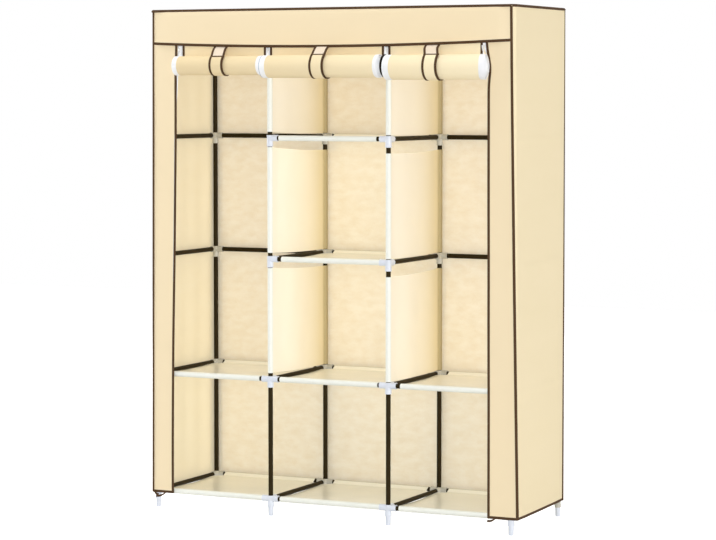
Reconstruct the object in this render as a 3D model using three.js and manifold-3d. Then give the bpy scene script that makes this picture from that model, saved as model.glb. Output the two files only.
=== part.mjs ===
// Portable fabric wardrobe: three columns, four rows, a tube frame on push-fit connectors,
// fabric shelves and dividers, and a fabric cover with three roll-up doors.
// Millimetres, +Z up, +Y towards the back. The front of the wardrobe faces -Y.
import * as THREE from 'three';
import { mergeVertices } from 'three/addons/utils/BufferGeometryUtils.js';
import Module from 'manifold-3d';

const wasm = await Module();
wasm.setup();

// Frame
const bayWidth = 437;
const frameDepth = 410;
const rowHeight = 404;
const bayCount = 3;
const rowCount = 4;

// Tubes. A round size is the distance from the axis to the flats of the facets.
const tubeRadius = 8;
const tubeWall = 0.5;
const tubeSides = 8;
const seatGap = 0.3;

// Connectors
const connectorWall = 2.2;
const armLength = 30;
const sleeveRise = 10;
const sleeveDrop = 28;
const topSleeveRise = 21;
const capThickness = 2;
const plugThickness = 2;
const footHeight = 30;
const footTopRadius = 8.5;
const footBottomRadius = 8;

// Fabric
const clothThickness = 1.2;
const shelfThickness = 1;
const shelfMargin = 8;
const shelfSideGap = 2;
const dividerLift = 2;
const dividerDrop = 42;

// Cover
const roofClearance = 0.8;
const coverHem = 53;
const coverBackStandoff = 2.8;
const stripWidth = 90;
const frontClearance = 0.3;
const valanceHeight = 111;
const valanceSag = 14;
const valanceStandoff = 6.3;
const valanceSteps = 12;

// Rolled doors
const rollRadii = [32.5, 37.5, 41];
const rollDrop = 152;
const rollCoreRadius = 8;
const rollTurns = 6;
const rollSteps = 18;
const rollSetback = 3;
const doorSeam = 0.6;

// Straps
const strapWidth = 53;
const strapThickness = 1.2;
const strapClearance = 0.5;
const strapHang = 2.8;
const strapTipAngle = 60;
const strapSteps = 12;
const strapPlaceShares = [0.547, 0.496, 0.521];

// Zip sliders
const sliderWidth = 9;
const sliderHeight = 13;
const sliderThickness = 3.6;
const sliderLift = 14;
const outerZipInset = 20;
const pullWidth = 5;
const pullLength = 12;
const pullThickness = 1;
const pullHole = 2.4;

// Hanging rods
const rodFittingLength = 40;

// One overrun serves every cut that runs out through a face.
const overrun = 5;

const uprightCount = bayCount + 1;
const bayCentreShare = bayCount / 2;
const frameHalfDepth = frameDepth / 2;
const boreRadius = tubeRadius + seatGap;
const tubeBore = tubeRadius - tubeWall;
const sleeveRadius = boreRadius + connectorWall;
const clothSleeveRadius = boreRadius + shelfThickness;
const levelNames = ['bottom', 'lower', 'middle', 'upper', 'top'];
const sideNames = ['left', 'centre', 'right'];

const uprightX = (index) => (index - bayCentreShare) * bayWidth;
const bottomLevel = footHeight + sleeveDrop;
const levelZ = (index) => bottomLevel + index * rowHeight;
const topLevel = levelZ(rowCount);
const roofUnder = topLevel + topSleeveRise + roofClearance;
const coverTop = roofUnder + clothThickness;
const rollTop = coverTop - rollDrop;

const coverHalfWidth = uprightX(bayCount) + sleeveRadius + seatGap + clothThickness;
const stripBack = frameHalfDepth + sleeveRadius + frontClearance;
const stripFront = stripBack + clothThickness;
const valanceBack = stripFront + valanceStandoff;
const valanceFront = valanceBack + clothThickness;
const coverBack = frameHalfDepth + sleeveRadius + coverBackStandoff + clothThickness;
const doorEdge = coverHalfWidth - stripWidth;

// Materials
const paint = (color, roughness, metalness) => new THREE.MeshStandardMaterial({ color, roughness, metalness });
const blackTube = paint(0x1c1712, 0.4, 0.3);
const shelfCloth = paint(0xf0e4bd, 0.6, 0);
const coverCloth = paint(0xf5e2ba, 0.85, 0);
const zipMetal = paint(0xd8d8d6, 0.35, 0.8);

const wardrobe = new THREE.Group();

// Turning shapes into solids

function toSolid(geometry) {
  const bare = geometry.clone();
  bare.deleteAttribute('normal');
  bare.deleteAttribute('uv');
  const merged = mergeVertices(bare);
  return new wasm.Manifold(new wasm.Mesh({
    numProp: 3,
    vertProperties: new Float32Array(merged.attributes.position.array),
    triVerts: new Uint32Array(merged.index.array),
  }));
}

function addPiece(name, solid, material) {
  const mesh = solid.getMesh();
  const geometry = new THREE.BufferGeometry();
  geometry.setAttribute('position', new THREE.BufferAttribute(mesh.vertProperties, mesh.numProp));
  geometry.setIndex(new THREE.BufferAttribute(mesh.triVerts, 1));
  geometry.computeVertexNormals();
  const piece = new THREE.Mesh(geometry, material);
  piece.name = name;
  wardrobe.add(piece);
}

const joined = (solids) => solids.reduce((whole, solid) => whole.add(solid));
const cutBy = (solid, cuts) => cuts.reduce((whole, cut) => whole.subtract(cut), solid);

function box(low, high) {
  const size = high.map((value, axis) => value - low[axis]);
  const geometry = new THREE.BoxGeometry(...size);
  geometry.translate(...low.map((value, axis) => value + size[axis] / 2));
  return toSolid(geometry);
}

// A round outline as a polygon whose flats lie at the radius.
function roundOutline(radius, sides = tubeSides) {
  const corner = radius / Math.cos(Math.PI / sides);
  const points = [];
  for (let side = 0; side < sides; side += 1) {
    const angle = ((side + 0.5) / sides) * 2 * Math.PI;
    points.push(new THREE.Vector2(corner * Math.cos(angle), corner * Math.sin(angle)));
  }
  return points;
}

// Extrusions: the outline's two axes and the run's axis follow one another in X, Y, Z order.
const runAxes = {
  x: new THREE.Matrix4().set(0, 0, 1, 0, 1, 0, 0, 0, 0, 1, 0, 0, 0, 0, 0, 1),
  y: new THREE.Matrix4().set(0, 1, 0, 0, 0, 0, 1, 0, 1, 0, 0, 0, 0, 0, 0, 1),
  z: new THREE.Matrix4(),
};

function extrude(points, axis, from, to, holes = []) {
  const shape = new THREE.Shape(points);
  holes.forEach((hole) => shape.holes.push(new THREE.Path(hole)));
  const geometry = new THREE.ExtrudeGeometry(shape, { depth: to - from, bevelEnabled: false });
  geometry.translate(0, 0, from);
  geometry.applyMatrix4(runAxes[axis]);
  return toSolid(geometry);
}

function bar(radius, axis, from, to, at) {
  return extrude(roundOutline(radius), axis, from, to).translate(at);
}

function pipe(axis, from, to, at) {
  return extrude(roundOutline(tubeRadius), axis, from, to, [roundOutline(tubeBore)]).translate(at);
}

// Uprights: each is its push-fit sections joined end to end, from the foot to the top cap.

const uprightBottom = footHeight + plugThickness + seatGap;
const uprightTop = topLevel + topSleeveRise - capThickness - seatGap;

for (const [row, side] of [['front', -1], ['back', 1]]) {
  for (let index = 0; index < uprightCount; index += 1) {
    const at = [uprightX(index), side * frameHalfDepth, 0];
    addPiece(`${row}_upright_${index + 1}`, pipe('z', uprightBottom, uprightTop, at), blackTube);
  }
}

// Connectors: a sleeve round the upright, arms to the left and right, and a socket for the
// tube that runs from front to back. What a connector lacks is left out of its arms.

function connectorBody(index, side, level, arms, isTop) {
  const x = uprightX(index);
  const y = side * frameHalfDepth;
  const z = levelZ(level);
  const rise = isTop ? topSleeveRise : sleeveRise;
  const solids = [bar(sleeveRadius, 'z', z - sleeveDrop, z + rise, [x, y, 0])];
  const from = arms.left ? x - armLength : x;
  const to = arms.right ? x + armLength : x;
  if (from < to) solids.push(bar(sleeveRadius, 'x', from, to, [0, y, z]));
  const inner = y - side * armLength;
  solids.push(bar(sleeveRadius, 'y', Math.min(y, inner), Math.max(y, inner), [x, 0, z]));
  return joined(solids);
}

function uprightHole(index, side, level) {
  const z = levelZ(level);
  let from = z - sleeveDrop - overrun;
  let to = z + sleeveRise + overrun;
  if (level === 0) from = footHeight + plugThickness;
  if (level === rowCount) to = z + topSleeveRise - capThickness;
  return bar(boreRadius, 'z', from, to, [uprightX(index), side * frameHalfDepth, 0]);
}

function depthSocket(index, side, level) {
  const blindEnd = side * (frameHalfDepth - sleeveRadius);
  const mouth = side * (frameHalfDepth - armLength - overrun);
  const at = [uprightX(index), 0, levelZ(level)];
  return bar(boreRadius, 'y', Math.min(blindEnd, mouth), Math.max(blindEnd, mouth), at);
}

function foot(index, side) {
  const geometry = new THREE.CylinderGeometry(footTopRadius, footBottomRadius, footHeight, tubeSides);
  geometry.rotateX(Math.PI / 2);
  geometry.translate(uprightX(index), side * frameHalfDepth, footHeight / 2);
  return toSolid(geometry);
}

function armsFor(index, first, last) {
  return { left: index > first, right: index < last };
}

// A rail: the tubes of one level along the front or the back with the connectors they join.
function rail(side, level, first, last) {
  const y = side * frameHalfDepth;
  const z = levelZ(level);
  const solids = [bar(tubeRadius, 'x', uprightX(first), uprightX(last), [0, y, z])];
  const cuts = [bar(tubeBore, 'x', uprightX(first), uprightX(last), [0, y, z])];
  for (let index = first; index <= last; index += 1) {
    solids.push(connectorBody(index, side, level, armsFor(index, first, last), level === rowCount));
    cuts.push(uprightHole(index, side, level));
    if (level === 0) solids.push(foot(index, side));
  }
  return { solids, cuts };
}

function socketCuts(side, level, first, last) {
  const cuts = [];
  for (let index = first; index <= last; index += 1) cuts.push(depthSocket(index, side, level));
  return cuts;
}

const depthTubeEnd = frameHalfDepth - sleeveRadius - seatGap;

// The bottom and lower levels run through all three columns.
for (const level of [0, 1]) {
  for (const [row, side] of [['front', -1], ['back', 1]]) {
    const { solids, cuts } = rail(side, level, 0, bayCount);
    cuts.push(...socketCuts(side, level, 0, bayCount));
    addPiece(`${levelNames[level]}_${row}_rail`, cutBy(joined(solids), cuts), blackTube);
  }
  for (let index = 0; index < uprightCount; index += 1) {
    const tube = pipe('y', -depthTubeEnd, depthTubeEnd, [uprightX(index), 0, levelZ(level)]);
    addPiece(`${levelNames[level]}_depth_tube_${index + 1}`, tube, blackTube);
  }
}

// The middle and upper levels carry a shelf in the centre column only, so their front rail is
// short, and the outer columns have no front tube where clothes hang.
for (const level of [2, 3]) {
  const name = levelNames[level];
  const z = levelZ(level);
  const back = rail(1, level, 0, bayCount);
  back.cuts.push(...socketCuts(1, level, 0, bayCount));
  addPiece(`${name}_back_rail`, cutBy(joined(back.solids), back.cuts), blackTube);

  const inner = rail(-1, level, 1, bayCount - 1);
  for (const index of [1, bayCount - 1]) {
    const at = [uprightX(index), 0, z];
    inner.solids.push(bar(tubeRadius, 'y', -frameHalfDepth, depthTubeEnd, at));
    inner.cuts.push(bar(tubeBore, 'y', -frameHalfDepth, frameHalfDepth, at));
  }
  addPiece(`${name}_shelf_frame`, cutBy(joined(inner.solids), inner.cuts), blackTube);

  for (const [sideName, index] of [['left', 0], ['right', bayCount]]) {
    const at = [uprightX(index), 0, z];
    const body = connectorBody(index, -1, level, armsFor(index, index, index), false);
    const tube = bar(tubeRadius, 'y', -frameHalfDepth, depthTubeEnd, at);
    const bore = bar(tubeBore, 'y', -frameHalfDepth, frameHalfDepth, at);
    const piece = cutBy(body.add(tube), [bore, uprightHole(index, -1, level)]);
    addPiece(`${name}_depth_tube_${sideName}`, piece, blackTube);
  }
}

// The top level is one frame: both rails, their capped connectors and the depth tubes.
const topSolids = [];
const topCuts = [];
for (const side of [-1, 1]) {
  const { solids, cuts } = rail(side, rowCount, 0, bayCount);
  topSolids.push(...solids);
  topCuts.push(...cuts);
}
for (let index = 0; index < uprightCount; index += 1) {
  const at = [uprightX(index), 0, topLevel];
  topSolids.push(bar(tubeRadius, 'y', -frameHalfDepth, frameHalfDepth, at));
  topCuts.push(bar(tubeBore, 'y', -frameHalfDepth, frameHalfDepth, at));
}
addPiece('top_frame', cutBy(joined(topSolids), topCuts), blackTube);

// Hanging rods: one in each outer column, on fittings that grip the top depth tubes.
const rodFittingRadius = sleeveRadius;

for (const [sideName, first] of [['left', 0], ['right', bayCount - 1]]) {
  const ends = [uprightX(first), uprightX(first + 1)];
  const solids = [bar(tubeRadius, 'x', ...ends, [0, 0, topLevel])];
  const cuts = [bar(tubeBore, 'x', ...ends, [0, 0, topLevel])];
  for (const x of ends) {
    const half = rodFittingLength / 2;
    const inward = x === ends[0] ? [x, x + armLength] : [x - armLength, x];
    solids.push(bar(rodFittingRadius, 'y', -half, half, [x, 0, topLevel]));
    solids.push(bar(rodFittingRadius, 'x', ...inward, [0, 0, topLevel]));
    cuts.push(bar(boreRadius, 'y', -half - overrun, half + overrun, [x, 0, topLevel]));
  }
  addPiece(`hanging_rod_${sideName}`, cutBy(joined(solids), cuts), blackTube);
}

// Shelves: a sheet with a sleeve at the front and the back edge, each round its tube. The
// corners are cut back for the connectors, and the sides reach the tubes from front to back.

const sleeveHalf = bayWidth / 2 - armLength - shelfMargin;
const sheetHalf = bayWidth / 2 - tubeRadius - shelfSideGap;
const sheetHalfDepth = frameHalfDepth - armLength - shelfMargin;

function shelf(bay, level) {
  const z = levelZ(level);
  const middle = (uprightX(bay) + uprightX(bay + 1)) / 2;
  const from = middle - sleeveHalf;
  const to = middle + sleeveHalf;
  const top = z + clothSleeveRadius;
  const under = top - shelfThickness;
  const solids = [
    box([from, -frameHalfDepth, under], [to, frameHalfDepth, top]),
    box([middle - sheetHalf, -sheetHalfDepth, under], [middle + sheetHalf, sheetHalfDepth, top]),
  ];
  const cuts = [];
  for (const side of [-1, 1]) {
    const at = [0, side * frameHalfDepth, z];
    solids.push(bar(clothSleeveRadius, 'x', from, to, at));
    cuts.push(bar(boreRadius, 'x', from - overrun, to + overrun, at));
  }
  return cutBy(joined(solids), cuts);
}

const shelfBays = [[0, 1, 2], [0, 1, 2], [1], [1]];

shelfBays.forEach((bays, level) => {
  bays.forEach((bay) => addPiece(`${levelNames[level]}_shelf_${sideNames[bay]}`, shelf(bay, level), shelfCloth));
});

// Dividers: a panel between a front and a back upright, with a sleeve round each.

function divider(index, row) {
  const half = shelfThickness / 2;
  const edge = frameHalfDepth - clothSleeveRadius;
  const frontSleeve = roundOutline(clothSleeveRadius).map((point) => point.add(new THREE.Vector2(0, -frameHalfDepth)));
  const firstCorner = tubeSides / 4;
  const aroundFront = [...frontSleeve.slice(firstCorner), ...frontSleeve.slice(0, firstCorner)];
  const aroundBack = aroundFront.map((point) => point.clone().negate());
  const outline = [
    ...aroundFront,
    new THREE.Vector2(half, -edge),
    new THREE.Vector2(half, edge),
    ...aroundBack,
    new THREE.Vector2(-half, edge),
    new THREE.Vector2(-half, -edge),
  ];
  const holes = [-1, 1].map((side) => (
    roundOutline(boreRadius).map((point) => point.add(new THREE.Vector2(0, side * frameHalfDepth)))
  ));
  const from = levelZ(row) + sleeveRise + dividerLift;
  const to = levelZ(row + 1) - dividerDrop;
  return extrude(outline, 'z', from, to, holes).translate([uprightX(index), 0, 0]);
}

for (const [sideName, index] of [['left', 1], ['right', bayCount - 1]]) {
  for (let row = 1; row < rowCount; row += 1) {
    addPiece(`${levelNames[row]}_divider_${sideName}`, divider(index, row), shelfCloth);
  }
}

// Cover: back, sides, roof, a strip down each side of the front, and the valance, whose hem
// sags between the corners. It is open below and where the doors hang.

function valance() {
  const hem = coverTop - valanceHeight;
  const points = [new THREE.Vector2(coverTop, coverHalfWidth), new THREE.Vector2(coverTop, -coverHalfWidth)];
  for (let step = 0; step <= valanceSteps; step += 1) {
    const share = (2 * step) / valanceSteps - 1;
    points.push(new THREE.Vector2(hem - valanceSag * (1 - share ** 2), share * coverHalfWidth));
  }
  return extrude(points, 'y', -valanceFront, -valanceBack);
}

function cover() {
  const shell = cutBy(
    box([-coverHalfWidth, -stripFront, coverHem], [coverHalfWidth, coverBack, coverTop]),
    [
      box(
        [-coverHalfWidth + clothThickness, -stripBack, coverHem - overrun],
        [coverHalfWidth - clothThickness, coverBack - clothThickness, roofUnder],
      ),
      box([-doorEdge, -stripFront - overrun, coverHem - overrun], [doorEdge, -stripBack + overrun, roofUnder]),
    ],
  );
  const corner = coverTop - valanceHeight;
  const ends = [-1, 1].map((side) => {
    const edges = [side * coverHalfWidth, side * (coverHalfWidth - clothThickness)].sort((a, b) => a - b);
    return box([edges[0], -valanceFront, corner], [edges[1], -stripBack, coverTop]);
  });
  const roofEdge = box([-coverHalfWidth, -valanceFront, roofUnder], [coverHalfWidth, -stripBack, coverTop]);
  return joined([shell, roofEdge, valance(), ...ends]);
}

addPiece('cover', cover(), coverCloth);

// Doors: each hangs as a short sheet from the roof's front edge and is rolled up outwards below
// it. The roll is a spiral whose outer end lies against the sheet.

const doorEdges = [-doorEdge, uprightX(1), uprightX(bayCount - 1), doorEdge];
const rollCentreY = (radius) => -(stripFront + seatGap + radius);
const rollCentreZ = (radius) => rollTop - radius;

function doorSheet(door) {
  const low = [doorEdges[door] + doorSeam, -stripFront, rollCentreZ(rollRadii[door])];
  const high = [doorEdges[door + 1] - doorSeam, -stripBack, roofUnder - seatGap];
  return box(low, high);
}

function spiralPoint(radius, pitch, step, inset) {
  const turn = step / rollSteps;
  const reach = radius + pitch * turn - inset;
  const angle = 2 * Math.PI * turn;
  return new THREE.Vector2(reach * Math.cos(angle), reach * Math.sin(angle));
}

let leastRollGap = Infinity;

function doorRoll(door) {
  const radius = rollRadii[door];
  const pitch = (radius - rollCoreRadius) / rollTurns;
  const outer = [];
  const inner = [];
  for (let step = -rollTurns * rollSteps; step <= 0; step += 1) {
    outer.push(spiralPoint(radius, pitch, step, 0));
    inner.push(spiralPoint(radius, pitch, step, clothThickness));
  }
  for (let step = rollSteps; step < outer.length; step += 1) {
    leastRollGap = Math.min(leastRollGap, inner[step].distanceTo(outer[step - rollSteps]));
  }
  const from = doorEdges[door] + rollSetback;
  const to = doorEdges[door + 1] - rollSetback;
  return extrude([...outer, ...inner.reverse()], 'x', from, to)
    .translate([0, rollCentreY(radius), rollCentreZ(radius)]);
}

// Strap: hangs from the roof edge behind the valance, then goes over the front of the roll
// and under it.
function doorStrap(door) {
  const radius = rollRadii[door];
  const centreY = rollCentreY(radius);
  const centreZ = rollCentreZ(radius);
  const hangY = -(stripFront + strapHang);
  const hangZ = coverTop - valanceHeight - valanceSag - strapThickness;
  const sweepStep = THREE.MathUtils.degToRad(strapTipAngle + 180) / strapSteps;
  const inner = (radius + strapClearance) / Math.cos(sweepStep / 2);
  const reach = Math.hypot(hangY - centreY, hangZ - centreZ);
  const tangent = Math.atan2(hangZ - centreZ, hangY - centreY) + Math.acos(inner / reach);
  const tip = 2 * Math.PI - THREE.MathUtils.degToRad(strapTipAngle);
  const near = [];
  const far = [];
  for (let step = 0; step <= strapSteps; step += 1) {
    const angle = tangent + ((tip - tangent) * step) / strapSteps;
    const direction = new THREE.Vector2(Math.cos(angle), Math.sin(angle));
    near.push(direction.clone().multiplyScalar(inner));
    far.push(direction.clone().multiplyScalar(inner + strapThickness));
  }
  const shift = new THREE.Vector2(centreY, centreZ);
  const roof = roofUnder - seatGap;
  const points = [
    new THREE.Vector2(hangY, roof),
    new THREE.Vector2(hangY, hangZ),
    ...near.map((point) => point.add(shift)),
    ...far.reverse().map((point) => point.add(shift)),
    new THREE.Vector2(hangY - strapThickness, hangZ),
    new THREE.Vector2(hangY - strapThickness, roof),
  ];
  const span = doorEdges[door + 1] - doorEdges[door];
  const middle = doorEdges[door] + span * strapPlaceShares[door];
  return extrude(points, 'x', middle - strapWidth / 2, middle + strapWidth / 2);
}

sideNames.forEach((sideName, door) => {
  addPiece(`door_sheet_${sideName}`, doorSheet(door), coverCloth);
  addPiece(`door_roll_${sideName}`, doorRoll(door), coverCloth);
  addPiece(`door_strap_${sideName}`, doorStrap(door), coverCloth);
});

// Zip sliders: each sits on the closed top end of its zip, with a flat pull hanging in front.

function zipSlider(x) {
  const back = -(stripFront + seatGap);
  const bottom = rollTop + sliderLift;
  const front = back - sliderThickness;
  const body = box([x - sliderWidth / 2, front, bottom], [x + sliderWidth / 2, back, bottom + sliderHeight]);
  const pullTop = bottom + sliderHeight;
  const pullFront = front - pullThickness;
  const pull = box(
    [x - pullWidth / 2, pullFront, pullTop - sliderHeight / 2 - pullLength],
    [x + pullWidth / 2, front, pullTop - sliderHeight / 2],
  );
  const holeZ = pullTop - sliderHeight / 2 - pullLength + pullHole;
  const hole = bar(pullHole / 2, 'y', pullFront - overrun, front, [x, 0, holeZ]);
  return body.add(pull).subtract(hole);
}

const outerZip = doorEdge - outerZipInset;
const zipPlaces = [-outerZip, uprightX(1), uprightX(bayCount - 1), outerZip];

zipPlaces.forEach((x, index) => addPiece(`zip_slider_${index + 1}`, zipSlider(x), zipMetal));

console.log(`least gap between turns of a roll: ${leastRollGap.toFixed(2)} mm`);

// The origin lies on the floor under the middle of the whole outline, front to back and side to side.
const largestRoll = Math.max(...rollRadii);
const sweepShare = 1 / Math.cos(THREE.MathUtils.degToRad(strapTipAngle + 180) / strapSteps / 2);
const frontReach = -rollCentreY(largestRoll) + (largestRoll + strapClearance) * sweepShare + strapThickness;
wardrobe.position.y = (frontReach - coverBack) / 2;

export default wardrobe;
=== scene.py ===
# Portable fabric wardrobe: the looks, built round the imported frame.
# Metres, Z up. The front faces -Y, and Y grows towards the back.
import math
import bpy
import numpy as np
from mathutils import Matrix, Vector


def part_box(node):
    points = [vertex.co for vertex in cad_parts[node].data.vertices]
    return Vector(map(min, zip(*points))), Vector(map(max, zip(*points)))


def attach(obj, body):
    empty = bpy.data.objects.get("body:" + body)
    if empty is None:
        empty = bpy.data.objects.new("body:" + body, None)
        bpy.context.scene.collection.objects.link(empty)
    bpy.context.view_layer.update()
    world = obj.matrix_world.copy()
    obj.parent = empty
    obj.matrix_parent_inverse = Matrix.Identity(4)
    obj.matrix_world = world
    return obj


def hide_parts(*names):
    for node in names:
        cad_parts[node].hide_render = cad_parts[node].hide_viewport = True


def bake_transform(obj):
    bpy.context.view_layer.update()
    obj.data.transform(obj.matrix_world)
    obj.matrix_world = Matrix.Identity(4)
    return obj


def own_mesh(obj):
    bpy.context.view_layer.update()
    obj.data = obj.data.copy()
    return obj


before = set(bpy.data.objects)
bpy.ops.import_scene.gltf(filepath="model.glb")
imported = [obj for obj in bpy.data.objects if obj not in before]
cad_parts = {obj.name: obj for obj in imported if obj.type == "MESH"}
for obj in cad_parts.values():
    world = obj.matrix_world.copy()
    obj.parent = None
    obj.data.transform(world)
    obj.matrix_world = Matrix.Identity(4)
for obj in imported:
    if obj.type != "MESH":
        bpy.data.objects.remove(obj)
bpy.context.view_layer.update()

root = "wardrobe"
sides = ["left", "centre", "right"]
levelNames = ["bottom", "lower", "middle", "upper", "top"]


def middleOf(node):
    low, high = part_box(node)
    return (low + high) / 2


# Places on the frame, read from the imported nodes
uprightXs = [middleOf(f"front_upright_{number}").x for number in range(1, 5)]
frontY = middleOf("front_upright_1").y
backY = middleOf("back_upright_1").y
middleY = (frontY + backY) / 2
rowYs = {"front": frontY, "back": backY}
bottomZ = middleOf("bottom_depth_tube_1").z
rowHeight = middleOf("lower_depth_tube_1").z - bottomZ
levels = [bottomZ + row * rowHeight for row in range(5)]
coverLow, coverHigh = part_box("cover")
zipXs = [middleOf(f"zip_slider_{number}").x for number in range(1, 5)]
solidCloth, solidCore, rollTurns = 0.0012, 0.008, 6  # cloth, core radius and turns of the rolls in the solids
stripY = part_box("door_sheet_left")[0].y + solidCloth / 2
rollOuter, rollTopZ = [], []
for side, fuller in zip(sides, (0.0005, 0.0015, 0.0010)):  # fuller than the solid by this much in radius
    low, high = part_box(f"door_roll_{side}")
    depth = high.y - low.y
    outer = depth / 2 + (depth - 2 * solidCore) / (8 * rollTurns)  # a spiral is a quarter of a turn's step wider
    rollTopZ.append((low.z + high.z) / 2 + outer + 2 * fuller)
    rollOuter.append(outer + fuller)


# Tools

def nothingSelected():
    bpy.ops.object.select_all(action="DESELECT")


def only(*objects):
    nothingSelected()
    for obj in objects:
        obj.select_set(True)
    bpy.context.view_layer.objects.active = objects[0]


def editMode():
    bpy.ops.object.mode_set(mode="EDIT")


def objectMode():
    bpy.ops.object.mode_set(mode="OBJECT")


def choose(action):
    bpy.ops.mesh.select_all(action=action)


def named(name):
    piece = bpy.context.object
    piece.name = piece.data.name = name
    return piece


def settle(piece):
    only(piece)
    bpy.ops.object.transform_apply(location=True, rotation=True, scale=True)
    return piece


def applied(piece, kind, **values):
    only(piece)
    modifier = piece.modifiers.new(kind.lower(), kind)
    for key, value in values.items():
        setattr(modifier, key, value)
    bpy.ops.object.modifier_apply(modifier=modifier.name)
    return piece


def smooth(piece, degrees=None):
    only(piece)
    if degrees is None:
        bpy.ops.object.shade_smooth()
    else:
        bpy.ops.object.shade_smooth_by_angle(angle=math.radians(degrees))
    return piece


def copyOf(piece, name):
    twin = piece.copy()
    twin.data = piece.data.copy()
    twin.name = twin.data.name = name
    bpy.context.scene.collection.objects.link(twin)
    return twin


# Insets the faces whose normal's z passes the test, once for each pair of thickness and depth
def insetFaces(piece, test, insets):
    only(piece)
    editMode()
    choose("DESELECT")
    objectMode()
    for face in piece.data.polygons:
        face.select = test(face.normal.z)
    editMode()
    for thickness, depth in insets:
        bpy.ops.mesh.inset(thickness=thickness, depth=depth)
    choose("DESELECT")
    objectMode()


def pointsOf(mesh):
    points = np.empty(len(mesh.vertices) * 3, np.float32)
    mesh.vertices.foreach_get("co", points)
    return points.reshape(-1, 3)


# A grid whose point (u, v), both 0 to 1, goes to place(u, v). Its UV map is in metres.
def gridPiece(name, columns, rows, place, size=None, welded=False):
    nothingSelected()
    bpy.ops.mesh.primitive_grid_add(x_subdivisions=columns, y_subdivisions=rows, size=2)
    piece = named(name)
    mesh = piece.data
    points = pointsOf(mesh)
    u, v = (points[:, 0] + 1) / 2, (points[:, 1] + 1) / 2
    mesh.vertices.foreach_set("co", place(u, v).astype(np.float32).ravel())
    if size:
        uv = np.empty(len(mesh.loops) * 2, np.float32)
        layer = mesh.uv_layers.active.data
        layer.foreach_get("uv", uv)
        uv = uv.reshape(-1, 2) * np.array(size, np.float32)
        layer.foreach_set("uv", uv.ravel())
    mesh.update()
    if welded:
        only(piece)
        editMode()
        choose("SELECT")
        bpy.ops.mesh.remove_doubles(threshold=1e-6)
        choose("DESELECT")
        bpy.ops.mesh.select_non_manifold(extend=False)
        bpy.ops.mesh.fill_holes(sides=0)
        choose("SELECT")
        bpy.ops.mesh.normals_make_consistent(inside=False)
        objectMode()
    return piece


def thickened(piece, thickness, offset=0):
    applied(piece, "SOLIDIFY", thickness=thickness, offset=offset)
    return smooth(piece, 60)


def stack(x, y, z):
    return np.stack(np.broadcast_arrays(x, y, z), -1)


def unit(vectors):
    return vectors / np.linalg.norm(vectors, axis=1)[:, None]


# Distance along a line of points, from 0.
def alongPath(points):
    steps = np.linalg.norm(np.diff(points, axis=0), axis=1)
    return np.concatenate([[0], np.cumsum(steps)])


def respaced(points, spacing):
    points = np.array(points, float)
    run = alongPath(points)
    count = max(2, int(round(run[-1] / spacing)))
    marks = np.linspace(0, run[-1], count + 1)
    return np.stack([np.interp(marks, run, points[:, axis]) for axis in range(3)], -1)


# A flat tape with round edges along a line of points, closed at both ends.
def tape(name, centre, widthways, outward, width, thickness, sides=12):
    centre, widthways, outward = (np.array(a, float) for a in (centre, widthways, outward))
    count = len(centre)
    widthways = unit(np.broadcast_to(widthways, (count, 3)))
    outward = unit(np.broadcast_to(outward, (count, 3)))
    width = np.broadcast_to(width, count)
    thickness = np.broadcast_to(thickness, count)

    def place(u, v):
        step = np.rint(u * (count - 1)).astype(int)
        angle = v * math.tau + math.pi / sides
        half, round_ = width[step] / 2, thickness[step] / 2
        across = np.cos(angle) * round_ + np.sign(np.round(np.cos(angle), 6)) * (half - round_)
        out = np.sin(angle) * round_
        return centre[step] + widthways[step] * across[:, None] + outward[step] * out[:, None]

    length = alongPath(centre)[-1]
    around = 2 * float(width.mean())
    piece = gridPiece(name, count - 1, sides, place, (length, around), welded=True)
    return smooth(piece, 50)


# Smooth ripples of about -1 to 1, seeded.
def waves(a, b, size, seed, count=7):
    pick = np.random.default_rng(seed)
    total = np.zeros(np.broadcast(a, b).shape)
    for _ in range(count):
        turn, phase = pick.uniform(0, math.tau, 2)
        length = size * pick.uniform(0.6, 1.7)
        total += np.sin((a * math.cos(turn) + b * math.sin(turn)) * math.tau / length + phase) * pick.uniform(0.5, 1)
    return total / (0.5 * count)


def bump(x, centre, width):
    return np.exp(-(((x - centre) / width) ** 2))


def easedStep(x):
    x = np.clip(x, 0, 1)
    return x * x * (3 - 2 * x)


def paint(piece, *materials):
    piece.data.materials.clear()
    for material in materials:
        piece.data.materials.append(material)


def dress(piece, material, slot, body=root, replaces=()):
    paint(piece, material)
    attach(piece, body)
    if replaces:
        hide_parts(*replaces)
    return piece


# Shader groups

def newGroup(name, inputs, outputs):
    group = bpy.data.node_groups.new(name, "ShaderNodeTree")
    for label, kind, value in inputs:
        socket = group.interface.new_socket(name=label, in_out="INPUT", socket_type=f"NodeSocket{kind}")
        socket.default_value = value
    for label, kind in outputs:
        group.interface.new_socket(name=label, in_out="OUTPUT", socket_type=f"NodeSocket{kind}")
    return group, group.nodes.new("NodeGroupInput"), group.nodes.new("NodeGroupOutput")


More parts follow.
